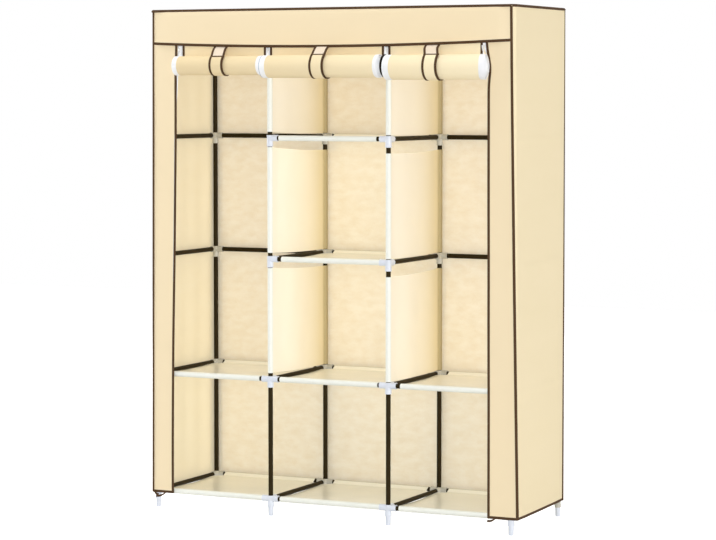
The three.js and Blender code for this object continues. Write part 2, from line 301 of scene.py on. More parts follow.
# Adds nodes to a tree and joins them.
class Wiring:

    def __init__(self, tree):
        self.tree = tree

    def node(self, kind, inputs=(), **settings):
        node = self.tree.nodes.new(f"ShaderNode{kind}")
        for key, value in settings.items():
            setattr(node, key, value)
        for key, value in dict(inputs).items():
            if isinstance(value, bpy.types.NodeSocket):
                self.tree.links.new(value, node.inputs[key])
            else:
                node.inputs[key].default_value = value
        return node

    def math(self, operation, a, b=0.0, c=0.0):
        return self.node("Math", {0: a, 1: b, 2: c}, operation=operation).outputs[0]

    def mix(self, share, a, b):
        node = self.node("Mix", {0: share}, data_type="RGBA")
        for socket, value in ((node.inputs[6], a), (node.inputs[7], b)):
            if isinstance(value, bpy.types.NodeSocket):
                self.tree.links.new(value, socket)
            else:
                socket.default_value = value
        return node.outputs[2]

    def ramp(self, value, low, high):
        return self.node("MapRange", {0: value, 1: low, 2: high, 3: 0.0, 4: 1.0}, clamp=True).outputs[0]

    def join(self, out, into):
        self.tree.links.new(out, into)


# Pressed non-woven cloth: blotches, fine fibres and the small dots that bond it.
def nonWovenGroup():
    group, start, end = newGroup(
        "nonWovenCloth",
        [
            ("Colour", "Color", (1, 1, 1, 1)), ("Blotch Colour", "Color", (1, 1, 1, 1)),
            ("Blotch Amount", "Float", 0.3), ("Blotch Size", "Float", 0.05),
            ("Fibre Amount", "Float", 0.1), ("Dot Pitch", "Float", 0.0022), ("Relief", "Float", 0.4),
            ("Roughness", "Float", 0.8),
        ],
        [("Colour", "Color"), ("Roughness", "Float"), ("Normal", "Vector")],
    )
    w = Wiring(group)
    place = w.node("TexCoord").outputs["UV"]
    stretched = w.node("Mapping", {"Vector": place, "Scale": (1.0, 1.7, 1.0)}).outputs[0]
    scale = w.math("DIVIDE", 1.0, start.outputs["Blotch Size"])
    blotch = w.node("TexNoise", {"Vector": stretched, "Scale": scale, "Detail": 5.0, "Roughness": 0.62}).outputs["Fac"]
    blotched = w.math("MULTIPLY", w.ramp(blotch, 0.36, 0.66), start.outputs["Blotch Amount"])
    fibre = w.node("TexNoise", {"Vector": stretched, "Scale": 420.0, "Detail": 3.0, "Roughness": 0.7}).outputs["Fac"]
    fibres = w.math("MULTIPLY", w.math("SUBTRACT", fibre, 0.5), start.outputs["Fibre Amount"])
    colour = w.mix(blotched, start.outputs["Colour"], start.outputs["Blotch Colour"])
    level = w.math("ADD", 1.0, fibres)
    shade = w.node("CombineXYZ", {0: level, 1: level, 2: level}).outputs[0]
    tinted = w.node("Mix", {0: 1.0}, data_type="RGBA", blend_type="MULTIPLY")
    w.join(colour, tinted.inputs[6])
    w.join(shade, tinted.inputs[7])
    apart = w.node("SeparateXYZ", {0: place})
    turn = w.math("DIVIDE", math.tau, start.outputs["Dot Pitch"])
    waveU = w.math("SINE", w.math("MULTIPLY", w.math("ADD", apart.outputs[0], apart.outputs[1]), turn))
    waveV = w.math("SINE", w.math("MULTIPLY", w.math("SUBTRACT", apart.outputs[0], apart.outputs[1]), turn))
    dots = w.math("POWER", w.math("MAXIMUM", w.math("MULTIPLY", waveU, waveV), 0.0), 1.5)
    height = w.math("SUBTRACT", w.math("MULTIPLY", fibre, 0.8), w.math("MULTIPLY", dots, 0.6))
    relief = w.node("Bump", {"Strength": start.outputs["Relief"], "Distance": 0.0002, "Height": height}).outputs[0]
    rough = w.math("ADD", start.outputs["Roughness"], w.math("MULTIPLY", w.math("SUBTRACT", blotch, 0.5), 0.12))
    w.join(tinted.outputs[2], end.inputs[0])
    w.join(rough, end.inputs[1])
    w.join(relief, end.inputs[2])
    return group


# Fine grain, faint cloudiness and scuffs on hard pieces.
def grainGroup():
    group, start, end = newGroup(
        "surfaceGrain",
        [
            ("Colour", "Color", (1, 1, 1, 1)), ("Worn Colour", "Color", (1, 1, 1, 1)),
            ("Wear", "Float", 0.2), ("Roughness", "Float", 0.4), ("Relief", "Float", 0.1),
        ],
        [("Colour", "Color"), ("Roughness", "Float"), ("Normal", "Vector")],
    )
    w = Wiring(group)
    place = w.node("TexCoord").outputs["Object"]
    cloud = w.node("TexNoise", {"Vector": place, "Scale": 28.0, "Detail": 4.0}).outputs["Fac"]
    grain = w.node("TexNoise", {"Vector": place, "Scale": 900.0, "Detail": 2.0}).outputs["Fac"]
    worn = w.math("MULTIPLY", w.ramp(cloud, 0.45, 0.75), start.outputs["Wear"])
    rough = w.math("ADD", start.outputs["Roughness"], w.math("MULTIPLY", w.math("SUBTRACT", cloud, 0.5), 0.25))
    relief = w.node("Bump", {"Strength": start.outputs["Relief"], "Distance": 0.0003, "Height": grain}).outputs[0]
    w.join(w.mix(worn, start.outputs["Colour"], start.outputs["Worn Colour"]), end.inputs[0])
    w.join(rough, end.inputs[1])
    w.join(relief, end.inputs[2])
    return group


# Narrow woven tape: slanted ribs that follow its length.
def twillGroup():
    group, start, end = newGroup(
        "twillTape",
        [
            ("Colour", "Color", (1, 1, 1, 1)), ("Light Colour", "Color", (1, 1, 1, 1)),
            ("Rib Pitch", "Float", 0.0016), ("Relief", "Float", 0.5), ("Roughness", "Float", 0.8),
        ],
        [("Colour", "Color"), ("Roughness", "Float"), ("Normal", "Vector")],
    )
    w = Wiring(group)
    place = w.node("TexCoord").outputs["UV"]
    apart = w.node("SeparateXYZ", {0: place})
    turn = w.math("DIVIDE", math.tau, start.outputs["Rib Pitch"])
    slanted = w.math("ADD", apart.outputs[0], w.math("MULTIPLY", apart.outputs[1], 1.3))
    ribs = w.math("SINE", w.math("MULTIPLY", slanted, turn))
    fuzz = w.node("TexNoise", {"Vector": place, "Scale": 600.0, "Detail": 2.0}).outputs["Fac"]
    share = w.math("MULTIPLY", w.math("ADD", w.math("MULTIPLY", ribs, 0.5), 0.5), w.ramp(fuzz, 0.3, 0.8))
    height = w.math("ADD", ribs, fuzz)
    relief = w.node("Bump", {"Strength": start.outputs["Relief"], "Distance": 0.0003, "Height": height}).outputs[0]
    rough = w.math("ADD", start.outputs["Roughness"], w.math("MULTIPLY", w.math("SUBTRACT", fuzz, 0.5), 0.2))
    w.join(w.mix(share, start.outputs["Colour"], start.outputs["Light Colour"]), end.inputs[0])
    w.join(rough, end.inputs[1])
    w.join(relief, end.inputs[2])
    return group


def newMaterial(name, group, values, **shader):
    material = bpy.data.materials.new(name)
    material.use_nodes = True
    tree = material.node_tree
    surface = tree.nodes["Principled BSDF"]
    effect = tree.nodes.new("ShaderNodeGroup")
    effect.node_tree = group
    for label, value in values.items():
        effect.inputs[label].default_value = value
    tree.links.new(effect.outputs["Colour"], surface.inputs["Base Color"])
    tree.links.new(effect.outputs["Roughness"], surface.inputs["Roughness"])
    tree.links.new(effect.outputs["Normal"], surface.inputs["Normal"])
    for label, value in shader.items():
        surface.inputs[label.replace("_", " ")].default_value = value
    return material


clothGroup, hardGroup, tapeGroup = nonWovenGroup(), grainGroup(), twillGroup()


def cloth(name, colour, blotch, amount, size, fibre=0.05, relief=0.25, roughness=0.82, pitch=0.0022, **shader):
    values = {"Colour": (*colour, 1), "Blotch Colour": (*blotch, 1), "Blotch Amount": amount, "Blotch Size": size,
              "Fibre Amount": fibre, "Dot Pitch": pitch, "Relief": relief, "Roughness": roughness}
    return newMaterial(name, clothGroup, values, **shader)


def woven(name, colour, light, roughness, pitch=0.0016, **shader):
    values = {"Colour": (*colour, 1), "Light Colour": (*light, 1), "Rib Pitch": pitch, "Roughness": roughness}
    return newMaterial(name, tapeGroup, values, **shader)


def hard(name, colour, worn, wear, roughness, relief, **shader):
    values = {"Colour": (*colour, 1), "Worn Colour": (*worn, 1), "Wear": wear, "Roughness": roughness, "Relief": relief}
    return newMaterial(name, hardGroup, values, **shader)


coverCloth = cloth("coverCloth", (0.84, 0.70, 0.465), (0.86, 0.715, 0.48), 0.5, 0.16)
# Painted shade: a darker copy of the cover cloth for the rolls and the strap loops, which hang in shade
shadedRollCloth = cloth("shadedRollCloth", (0.775, 0.628, 0.378), (0.795, 0.643, 0.388), 0.5, 0.12)
# Painted light: a paler copy of the cover cloth for the hanging door sheets, in the valance's shade
litDoorCloth = cloth("litDoorCloth", (0.89, 0.752, 0.49), (0.91, 0.765, 0.51), 0.5, 0.1)
# Painted light: a paler, less yellow copy of the side cloth for the inside faces of the side panels
litSideInside = cloth("litSideInside", (0.858, 0.77, 0.568), (0.828, 0.735, 0.528), 0.4, 0.09)
sideCloth = cloth("sideCloth", (0.825, 0.703, 0.468), (0.80, 0.68, 0.438), 0.4, 0.2)
# Painted light: a paler copy of the cloth for the back panel's inside face; its blotches and fibres are the cloth's own
litBackInside = cloth("litBackInside", (0.975, 0.90, 0.745), (0.885, 0.77, 0.57), 0.6, 0.045, fibre=0.24, relief=0.4, roughness=0.85)
shelfCloth = cloth("shelfCloth", (0.975, 0.94, 0.80), (0.96, 0.90, 0.74), 0.3, 0.12, fibre=0.04, relief=0.2,
                   roughness=0.24, Specular_IOR_Level=0.6)
dividerCloth = cloth("dividerCloth", (0.94, 0.872, 0.735), (0.93, 0.857, 0.70), 0.3, 0.12, fibre=0.04, relief=0.2, roughness=0.6)
loopPatch = cloth("loopPatch", (0.75, 0.63, 0.49), (0.83, 0.74, 0.63), 0.6, 0.006, fibre=0.3, relief=0.8, roughness=0.9,
                  pitch=0.0016)
sleeveCloth = cloth("sleeveCloth", (0.84, 0.85, 0.79), (0.78, 0.79, 0.70), 0.4, 0.03, fibre=0.06, relief=0.3, roughness=0.6)
brownTape = woven("brownTape", (0.072, 0.038, 0.018), (0.115, 0.066, 0.035), 0.85, Specular_IOR_Level=0.15)
zipTape = woven("zipTape", (0.90, 0.91, 0.93), (0.95, 0.95, 0.96), 0.7, pitch=0.0012)
shadedTape = woven("shadedTape", (0.012, 0.009, 0.007), (0.022, 0.016, 0.012), 0.9, Specular_IOR_Level=0.1)
# Painted shade: zip tape in shade, for the ring between two rolls
shadedZipTape = woven("shadedZipTape", (0.40, 0.45, 0.53), (0.50, 0.54, 0.60), 0.8)
blackTube = hard("blackTube", (0.024, 0.016, 0.005), (0.038, 0.027, 0.011), 0.4, 0.42, 0.06, Specular_IOR_Level=0.045)
whitePlastic = hard("whitePlastic", (0.68, 0.715, 0.79), (0.62, 0.65, 0.72), 0.5, 0.32, 0.08)
# Painted shade: a darker, greyer copy of the white plastic for the back connectors, which stand in shade
shadedBackPlastic = hard("shadedBackPlastic", (0.50, 0.48, 0.41), (0.40, 0.38, 0.31), 0.6, 0.4, 0.08)
zipPlastic = hard("zipPlastic", (0.92, 0.93, 0.95), (0.84, 0.86, 0.90), 0.5, 0.35, 0.1)
zipMetal = hard("zipMetal", (0.72, 0.72, 0.70), (0.60, 0.59, 0.56), 0.5, 0.3, 0.1, Metallic=1.0)


# Mixes another colour in along an axis (0 to 2), from none at near to all of it at far
def tintTowards(material, colour, axis, near, far, power=1.6):
    w = Wiring(material.node_tree)
    surface = material.node_tree.nodes["Principled BSDF"]
    plain = surface.inputs["Base Color"].links[0].from_socket
    place = w.node("SeparateXYZ", {0: w.node("TexCoord").outputs["Object"]}).outputs[axis]
    share = w.math("POWER", w.ramp(place, near, far), power)
    w.join(w.mix(share, plain, (*colour, 1)), surface.inputs["Base Color"])


# Painted shade: the dividers darken to ochre towards the back
tintTowards(dividerCloth, (0.66, 0.53, 0.27), 1, frontY + 0.14, backY + 0.01)
tintTowards(dividerCloth, (0.34, 0.265, 0.12), 1, backY - 0.027, backY - 0.004)  # the shaded edge at the back upright
tintTowards(shelfCloth, (0.36, 0.29, 0.14), 1, backY - 0.007, backY + 0.002, 1.2)  # the shaded line along the back panel
# Painted light and shade: the rolls grow lighter towards the right
tintTowards(shadedRollCloth, (0.92, 0.80, 0.545), 0, uprightXs[1] - 0.2, uprightXs[3] - 0.1, 1.2)
# Painted light: the door sheets grow lighter towards the right
tintTowards(litDoorCloth, (0.93, 0.83, 0.60), 0, uprightXs[2] - 0.1, uprightXs[3] - 0.1, 1.0)

print("materials: made")

# Tubes

tubeLook = {"radius": 0.008, "wall": 0.0005, "sides": 28, "mouth": 0.015, "rim": 0.0003, "step": 0.0001, "length": 0.1}


def turnedBetween(start, end):
    return Matrix.Translation((start + end) / 2) @ (end - start).to_track_quat("Z", "Y").to_matrix().to_4x4()


# A steel tube along Z with a rolled rim and an open mouth at both ends
def masterTube():
    look = tubeLook
    nothingSelected()
    bpy.ops.mesh.primitive_cylinder_add(vertices=look["sides"], radius=look["radius"], depth=look["length"])
    piece = named("masterTube")
    insetFaces(piece, lambda z: abs(z) > 0.9,
               [(look["rim"], 0), (look["wall"] - look["rim"], -look["rim"]), (look["step"], -look["mouth"])])
    return smooth(piece, 40)


tubeMaster = masterTube()


def tube(name, start, end, node):
    start, end = Vector(start), Vector(end)
    piece = copyOf(tubeMaster, name)
    points = pointsOf(piece.data)
    points[:, 2] += np.sign(points[:, 2]) * ((end - start).length - tubeLook["length"]) / 2
    piece.data.vertices.foreach_set("co", points.ravel())
    piece.data.transform(turnedBetween(start, end))
    piece.data.update()
    return dress(piece, blackTube, "black_tube", replaces=[node])


socket = 0.0115  # where a tube's end sits in a connector, from the connector's middle


# The two ends of a tube between neighbouring uprights
def bayEnds(bay, y, z):
    return (uprightXs[bay] + socket, y, z), (uprightXs[bay + 1] - socket, y, z)


for row, y in rowYs.items():
    for number, x in enumerate(uprightXs, 1):
        node = f"{row}_upright_{number}"
        low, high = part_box(node)
        tube(f"upright{row.capitalize()}{number}", (x, y, low.z), (x, y, high.z), node)


def railNode(level, row):
    if level == 4:
        return "top_frame"
    if level >= 2 and row == "front":
        return f"{levelNames[level]}_shelf_frame"
    return f"{levelNames[level]}_{row}_rail"


def railBays(level, row):
    return [1] if level in (2, 3) and row == "front" else [0, 1, 2]


def depthNode(level, index):
    if level == 4:
        return "top_frame"
    if level < 2:
        return f"{levelNames[level]}_depth_tube_{index + 1}"
    if index in (1, 2):
        return f"{levelNames[level]}_shelf_frame"
    return f"{levelNames[level]}_depth_tube_{'left' if index == 0 else 'right'}"


for level, z in enumerate(levels):
    for row, y in rowYs.items():
        for bay in railBays(level, row):
            tube(f"{levelNames[level]}{row.capitalize()}Tube{bay + 1}", *bayEnds(bay, y, z), railNode(level, row))
    for index, x in enumerate(uprightXs):
        tube(f"{levelNames[level]}DepthTube{index + 1}", (x, frontY + socket, z), (x, backY - socket, z),
             depthNode(level, index))

for side, bay in (("Left", 0), ("Right", 2)):
    tube(f"hangingRod{side}", *bayEnds(bay, middleY, levels[4]), f"hanging_rod_{side.lower()}")
print("tubes: made")


# Connectors

connectorLook = {
    "radius": 0.0105, "bore": 0.0082, "arm": 0.030, "rise": 0.010, "drop": 0.028, "topRise": 0.021,
    "ringRadius": 0.0112, "ringWidth": 0.0032, "collar": 0.012, "voxel": 0.0009, "faces": 0.32, "cap": 0.002,
    "stop": 0.011, "past": 0.005,
}


def bar(start, end, radius, vertices=32):
    start, end = Vector(start), Vector(end)
    nothingSelected()
    bpy.ops.mesh.primitive_cylinder_add(vertices=vertices, radius=radius, depth=(end - start).length)
    piece = bpy.context.object
    piece.data.transform(turnedBetween(start, end))
    return piece


def bored(piece, cutter):
    applied(piece, "BOOLEAN", operation="DIFFERENCE", object=cutter, solver="EXACT")
    bpy.data.objects.remove(cutter)


# Bars run together into one moulding, then bored
def moulded(name, bars, bores):
    solids = [bar(*each) for each in bars]
    only(*solids)
    bpy.ops.object.join()
    piece = named(name)
    piece.data.remesh_voxel_size = connectorLook["voxel"]
    only(piece)
    bpy.ops.object.voxel_remesh()
    applied(piece, "SMOOTH", factor=0.5, iterations=5)
    applied(piece, "DECIMATE", ratio=connectorLook["faces"])
    for each in bores:
        bored(piece, bar(*each))
    return smooth(piece, 38)


# A connector round the origin. depthSign 1 has its third arm towards the back.
def connectorMaster(name, level, armSides, depthSign):
    look = connectorLook
    rise = look["topRise"] if level == 4 else look["rise"]
    drop, past, wide = look["drop"], look["past"], look["ringRadius"]
    radius, arm, ring = look["radius"], look["arm"], look["ringWidth"]
    bars = [((0, 0, -drop), (0, 0, rise), radius), ((0, 0, -drop), (0, 0, -drop + ring), wide)]
    bores = []
    if level == 0:
        bars[1] = ((0, 0, -drop), (0, 0, -drop + look["collar"]), wide)
        bores.append(((0, 0, -0.02), (0, 0, rise + past), look["bore"]))
    elif level == 4:
        bores.append(((0, 0, -drop - past), (0, 0, rise - look["cap"]), look["bore"]))
    else:
        bars.append(((0, 0, rise - ring), (0, 0, rise), wide))
        bores.append(((0, 0, -drop - past), (0, 0, rise + past), look["bore"]))
    for x, y in [(sign, 0) for sign in armSides] + [(0, depthSign)]:
        tip, back, mouth, stop = ((x * reach, y * reach, 0) for reach in (arm, arm - ring, arm + past, look["stop"]))
        bars += [((0, 0, 0), tip, radius), (back, tip, wide)]
        bores.append((stop, mouth, look["bore"]))
    return moulded(name, bars, bores)


connectorMasters = {}


def connector(level, row, index):
    left, right = index > 0, index < 3
    if level in (2, 3) and row == "front":
        left, right = index == 2, index == 1
    arms = [-1] * left + [1] * right
    depthSign = 1 if row == "front" else -1
    kind = 0 if level == 0 else 4 if level == 4 else 1
    key = kind, tuple(arms), depthSign
    if key not in connectorMasters:
        connectorMasters[key] = connectorMaster(f"connectorMaster{len(connectorMasters)}", kind, arms, depthSign)
    piece = copyOf(connectorMasters[key], f"{levelNames[level]}{row.capitalize()}Connector{index + 1}")
    piece.data.transform(Matrix.Translation((uprightXs[index], rowYs[row], levels[level])))
    node = railNode(level, row)
    if level in (2, 3) and row == "front" and index in (0, 3):
        node = depthNode(level, index)
    return dress(piece, whitePlastic if row == "front" else shadedBackPlastic, "white_plastic", replaces=[node])


for level in range(5):
    for row in ("front", "back"):
        for index in range(4):
            connector(level, row, index)

pegLook = {"top": 0.0088, "bottom": 0.0080, "foot": 0.0012, "lip": 0.0006, "step": 0.0003, "hollow": 0.012}


# A foot peg: a slightly tapered plug with a hollow underside
def pegMaster():
    look = pegLook
    height = levels[0] - connectorLook["drop"]
    nothingSelected()
    bpy.ops.mesh.primitive_cone_add(vertices=32, radius1=look["bottom"], radius2=look["top"], depth=height,
                                    location=(0, 0, height / 2))
    piece = settle(named("pegMaster"))
    insetFaces(piece, lambda z: z < -0.9, [(look["foot"], 0), (look["lip"], 0), (look["step"], -look["hollow"])])
    applied(piece, "BEVEL", width=0.0005, segments=2, limit_method="ANGLE", angle_limit=math.radians(50))
    return smooth(piece, 38)


pegShape = pegMaster()
for row, y in rowYs.items():
    for index, x in enumerate(uprightXs):
        piece = copyOf(pegShape, f"footPeg{row.capitalize()}{index + 1}")
        piece.data.transform(Matrix.Translation((x, y, 0)))
        dress(piece, whitePlastic, "white_plastic", replaces=[f"bottom_{row}_rail"])


# Grips a depth tube of the top level and holds one end of a hanging rod
def rodFitting(side, bay, end):
    index, sign = (bay, 1) if end == 0 else (bay + 1, -1)
    look = connectorLook
    half = 0.02
    radius, arm, ring, past, wide = (look[key] for key in ("radius", "arm", "ringWidth", "past", "ringRadius"))
    bars = [((0, -half, 0), (0, half, 0), radius), ((0, 0, 0), (sign * arm, 0, 0), radius),
            ((sign * (arm - ring), 0, 0), (sign * arm, 0, 0), wide)]
    bars += [((0, s * half, 0), (0, s * (half - ring), 0), wide) for s in (-1, 1)]
    bores = [((0, -half - past, 0), (0, half + past, 0), look["bore"]),
             ((sign * look["stop"], 0, 0), (sign * (arm + past), 0, 0), look["bore"])]
    piece = moulded(f"rodFitting{side}{end + 1}", bars, bores)
    piece.data.transform(Matrix.Translation((uprightXs[index], middleY, levels[4])))
    return dress(piece, whitePlastic, "white_plastic", replaces=[f"hanging_rod_{side.lower()}"])


for side, bay in (("Left", 0), ("Right", 2)):
    for end in (0, 1):
        rodFitting(side, bay, end)

for master in [tubeMaster, pegShape, *connectorMasters.values()]:
    bpy.data.objects.remove(master)
print("connectors: made")


# Shelves

shelfLook = {
    "thickness": 0.0009, "radius": 0.0088, "seam": 0.0175, "sheetDrop": 0.001, "sag": 0.0035, "wave": 0.0006,
    "width": 0.415, "sheetHalf": 0.2085, "cutStart": 0.026, "cutEnd": 0.046, "arm": 0.030, "backGap": 0.009,
    "seamDent": 0.0006, "edgeDroop": 0.003,
}
# Bare tube left showing between connector arm and sleeve, at the left and right end of each shelf
sleeveGaps = {
    (0, 0): (0.008, 0.001), (0, 1): (0.008, 0.001), (0, 2): (0.011, 0.006),
    (1, 0): (0.008, 0.009), (1, 1): (0.008, 0.007), (1, 2): (0.016, 0.006),
    (2, 1): (0.015, 0.001), (3, 1): (0.006, 0.011),
}


# From the seam under the sheet, round the tube and back to the seam. sign is 1 at the front.
def sleevePath(y, z, sign, look):
    tangent = math.degrees(math.acos(look["radius"] / look["seam"]))
    angles = np.radians(np.linspace(-tangent, tangent - 360, 30))
    ring = np.stack([y + sign * look["radius"] * np.cos(angles), z + look["radius"] * np.sin(angles)], -1)
    under = np.array([[y + sign * (look["seam"] + 0.002), z - look["sheetDrop"] - 0.0011]])
    return np.concatenate([under, ring])


# A sheet of two cloths: the faces that inSleeve picks get the sleeve's
def frameCloth(piece, main, inSleeve, thickness, node):
    paint(piece, main, sleeveCloth)
    for face in piece.data.polygons:
        face.material_index = int(inSleeve(face.center.y))
    thickened(piece, thickness)
    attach(piece, root)
    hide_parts(node)


def shelf(level, bay):
    look = shelfLook
    z = levels[level]
    centre = (uprightXs[bay] + uprightXs[bay + 1]) / 2
    front = sleevePath(frontY, z, 1, look)
    back = sleevePath(backY, z, -1, look)[::-1]
    run = np.linspace(frontY + look["seam"], backY - look["seam"], 60)
    line = np.concatenate([front, np.stack([run, np.full(60, z - look["sheetDrop"])], -1), back])
    line = respaced(np.concatenate([np.zeros((len(line), 1)), line], 1), 0.0045)
    count, length = len(line), alongPath(line)[-1]
    first, last = uprightXs[bay] + look["arm"], uprightXs[bay + 1] - look["arm"]
    ends = [first + sleeveGaps[level, bay][0], last - sleeveGaps[level, bay][1]]
    backEnds = [first + look["backGap"], last - look["backGap"]]
    isTop = np.abs(line[:, 2] - z + look["sheetDrop"]) < 1e-5

    def place(u, v):
        step = np.rint(v * (count - 1)).astype(int)
        y, height, onTop = line[step, 1], line[step, 2], isTop[step]
        inward = np.minimum(y - frontY, backY - y)
        widen = easedStep((inward - look["cutStart"]) / (look["cutEnd"] - look["cutStart"])) * onTop
        left, right = (np.where(y < middleY, *pair) for pair in zip(ends, backEnds))
        left = left + (centre - look["sheetHalf"] - left) * widen
        right = right + (centre + look["sheetHalf"] - right) * widen
        side = 2 * u - 1
        x = left + (right - left) * u
        depth = np.clip(inward / (backY - frontY) * 2, 0, 1)
        sag = look["sag"] * np.sin(depth * math.pi / 2) ** 2 * (1 - 0.35 * side ** 2)
        dent = look["seamDent"] * bump(inward, look["seam"] + 0.003, 0.003)
        ripple = look["wave"] * waves(x, y, 0.16, 40 + level * 3 + bay) * easedStep(inward / 0.05)
        droop = look["edgeDroop"] * easedStep((np.abs(side) - 0.9) / 0.1) * np.sin(depth * math.pi / 2)
        return stack(x, y, height - onTop * (sag + dent + droop) + onTop * ripple)

    name = levelNames[level]
    piece = gridPiece(f"{name}Shelf{sides[bay].capitalize()}", 64, count - 1, place, (look["width"], length))
    frameCloth(piece, shelfCloth, lambda y: y - frontY < look["seam"] - 0.003, look["thickness"],
               f"{name}_shelf_{sides[bay]}")


for level, bays in enumerate([(0, 1, 2), (0, 1, 2), (1,), (1,)]):
    for bay in bays:
        shelf(level, bay)
print("shelves: made")


# Dividers

dividerLook = {
    "thickness": 0.0009, "radius": 0.0088, "seam": 0.014, "fold": 0.0016, "wave": 0.0009, "droop": 0.004,
    "lift": {"left": 0.021, "right": 0.0125}, "liftBack": 0.012,  # the lower edge over its level
    "dropFront": {"left": 0.030, "right": 0.047}, "dropBack": {"left": 0.047, "right": 0.042},  # the upper edge under the next
}


def divider(side, index, row):
    look = dividerLook
    x = uprightXs[index]
    radius, seam = look["radius"], look["seam"]
    angles = np.radians(np.linspace(60, -270, 30))
    ringFront = np.stack([x + radius * np.cos(angles), frontY + radius * np.sin(angles)], -1)
    seamFront = np.array([[x + 0.0006, frontY + seam]])
    run = np.stack([np.full(70, x), np.linspace(frontY + seam, backY - seam, 70)], -1)
    ringBack = np.stack([x - radius * np.cos(angles), backY - radius * np.sin(angles)], -1)[::-1]
    seamBack = np.array([[x - 0.0006, backY - seam]])
    line = np.concatenate([seamFront, ringFront, run, ringBack, seamBack])
    line = respaced(np.concatenate([line, np.zeros((len(line), 1))], 1), 0.0042)
    count, length = len(line), alongPath(line)[-1]
    low, lowBack = levels[row] + look["lift"][side], levels[row] + look["liftBack"]
    highFront, highBack = levels[row + 1] - look["dropFront"][side], levels[row + 1] - look["dropBack"][side]

    def place(u, v):
        step = np.rint(u * (count - 1)).astype(int)
        px, py = line[step, 0], line[step, 1]
        depth = np.clip((py - frontY) / (backY - frontY), 0, 1)
        panel = easedStep(np.minimum(py - frontY, backY - py) / 0.05 - 0.3)
        high = highFront + (highBack - highFront) * depth - 0.004 * np.sin(depth * math.pi)
        bottom = low + (lowBack - low) * depth - look["droop"] * np.sin(depth * math.pi)
        z = bottom + (high - bottom) * v
        ripple = look["wave"] * waves(py, z, 0.14, 60 + row * 5 + index)
        fold = look["fold"] * np.sin(py * math.tau / 0.19 + 0.6 * index + row) + ripple
        return stack(px + fold * panel, py, z)

    level = levelNames[row]
    piece = gridPiece(f"{level}Divider{side.capitalize()}", count - 1, 70, place, (length, highFront - low))
    frameCloth(piece, dividerCloth, lambda y: y < frontY + 0.0085, look["thickness"], f"{level}_divider_{side}")


for side, index in (("left", 1), ("right", 2)):
    for row in (1, 2, 3):
        divider(side, index, row)
print("dividers: made")


# Cover

coverLook = {
    "thickness": 0.001, "cornerRadius": 0.0135, "fold": 0.0024, "ridge": 0.0018, "roofSag": 0.006, "rollPress": 0.0045,
    "flareLeft": (0.0035, 0.003), "flareRight": (0.0165, 0.0),  # how far the hem stands out, in front and at the back
    "cornerLeft": 0.0085, "cornerRight": 0.0135, "cornerBack": 0.0045,  # how far a corner turns in
    "hemTape": 0.0092, "tapeThickness": 0.0024, "piping": 0.0098, "pipingThickness": 0.0064,
    "backPiping": 0.0115, "backPipingSetback": 0.0015, "standoff": 0.0072,
    # the strips' inner edges from the middle: at the top, under the roll and at the hem
    "stripInnerLeft": (0.566, 0.5695, 0.589), "stripInnerRight": (0.567, 0.574, 0.5785),
}
rollEndX = -coverHigh.x + 0.055  # where the left roll's end presses on its strip from behind
coverHalf = coverHigh.x - coverLook["thickness"] / 2
coverTopZ = coverHigh.z - coverLook["thickness"] / 2
hemZ = coverLow.z
backSheetY = coverHigh.y - coverLook["thickness"] / 2
valanceHeight, valanceSag = 0.111, 0.014


# 0 at the hem and 1 at the roof
def heightShare(z):
    return np.clip((z - hemZ) / (coverTopZ - hemZ), 0, 1)


# The height at a share of the way up
def heightAt(share):
    return hemZ + (coverTopZ - hemZ) * share


# The side panel's place. Its corners turn in round the connectors, most at the top.
def sideX(sign, z, y=None):
    look = coverLook
    share = heightShare(z)
    front, back = look["flareRight"] if sign > 0 else look["flareLeft"]
    inset = look["cornerRight"] if sign > 0 else look["cornerLeft"]
    depth, edge = 0, np.zeros_like(share)
    if y is not None:
        depth = (y - stripY) / (backSheetY - stripY)
        edge = np.clip(np.minimum(y - stripY, backSheetY - y) / look["cornerRadius"], 0, 1)
        inset = np.where(y > (stripY + backSheetY) / 2, look["cornerBack"], inset)
    out = coverHalf + (front + (back - front) * depth) * (1 - share) ** 1.3
    turn = 1 - np.sqrt(np.clip(1 - (1 - edge) ** 2, 0, 1))
    return sign * (out - inset * (0.12 + 0.88 * share) * turn)


# 0 at an edge that a seam holds, 1 well inside
def hemmed(edge):
    return easedStep(edge / 0.06)


def coverSheet(name, columns, rows, place, size, material):
    piece = gridPiece(name, columns, rows, place, size)
    thickened(piece, coverLook["thickness"])
    dress(piece, material, "cover_cloth", replaces=["cover"])
    return piece


# Gives the faces that look inwards a paler copy of the cloth: painted light for the inside, which the lamps reach less
def withLitInside(piece, outside, lining):
    piece.data.materials.append(lining)
    for face in piece.data.polygons:
        face.material_index = int(face.normal.dot(Vector(outside)) < 0)


def levelRidges(z, width=0.012):
    return sum(bump(z, level, width) for level in levels[:4])


def sideShape(sign, y, z):
    inside = hemmed(y - stripY) * hemmed(backSheetY - y) * hemmed(coverTopZ - z)
    if sign < 0:
        folds = np.sin(y * math.tau / 0.105 + 1.1 * np.sin(z * 2.3 + 0.4) + 0.7)
        soft = folds * 0.7 + 0.5 * waves(y, z * 0.35, 0.15, 21)
        between = 0.45 + 0.55 * np.abs(np.sin((z - levels[0]) / rowHeight * math.pi))
        out = -coverLook["fold"] * soft * inside * between
    else:
        out = (coverLook["ridge"] * levelRidges(z) + 0.0012 * waves(y * 0.6, z, 0.5, 22)) * inside
    return stack(sideX(sign, z, y) + sign * out, y, z)


# Places from front to back, closer together near the corners
def depthAt(share):
    return stripY + (backSheetY - stripY) * (share - 0.9 * np.sin(share * math.tau) / math.tau)


coverHeight = round(coverTopZ - hemZ, 3)


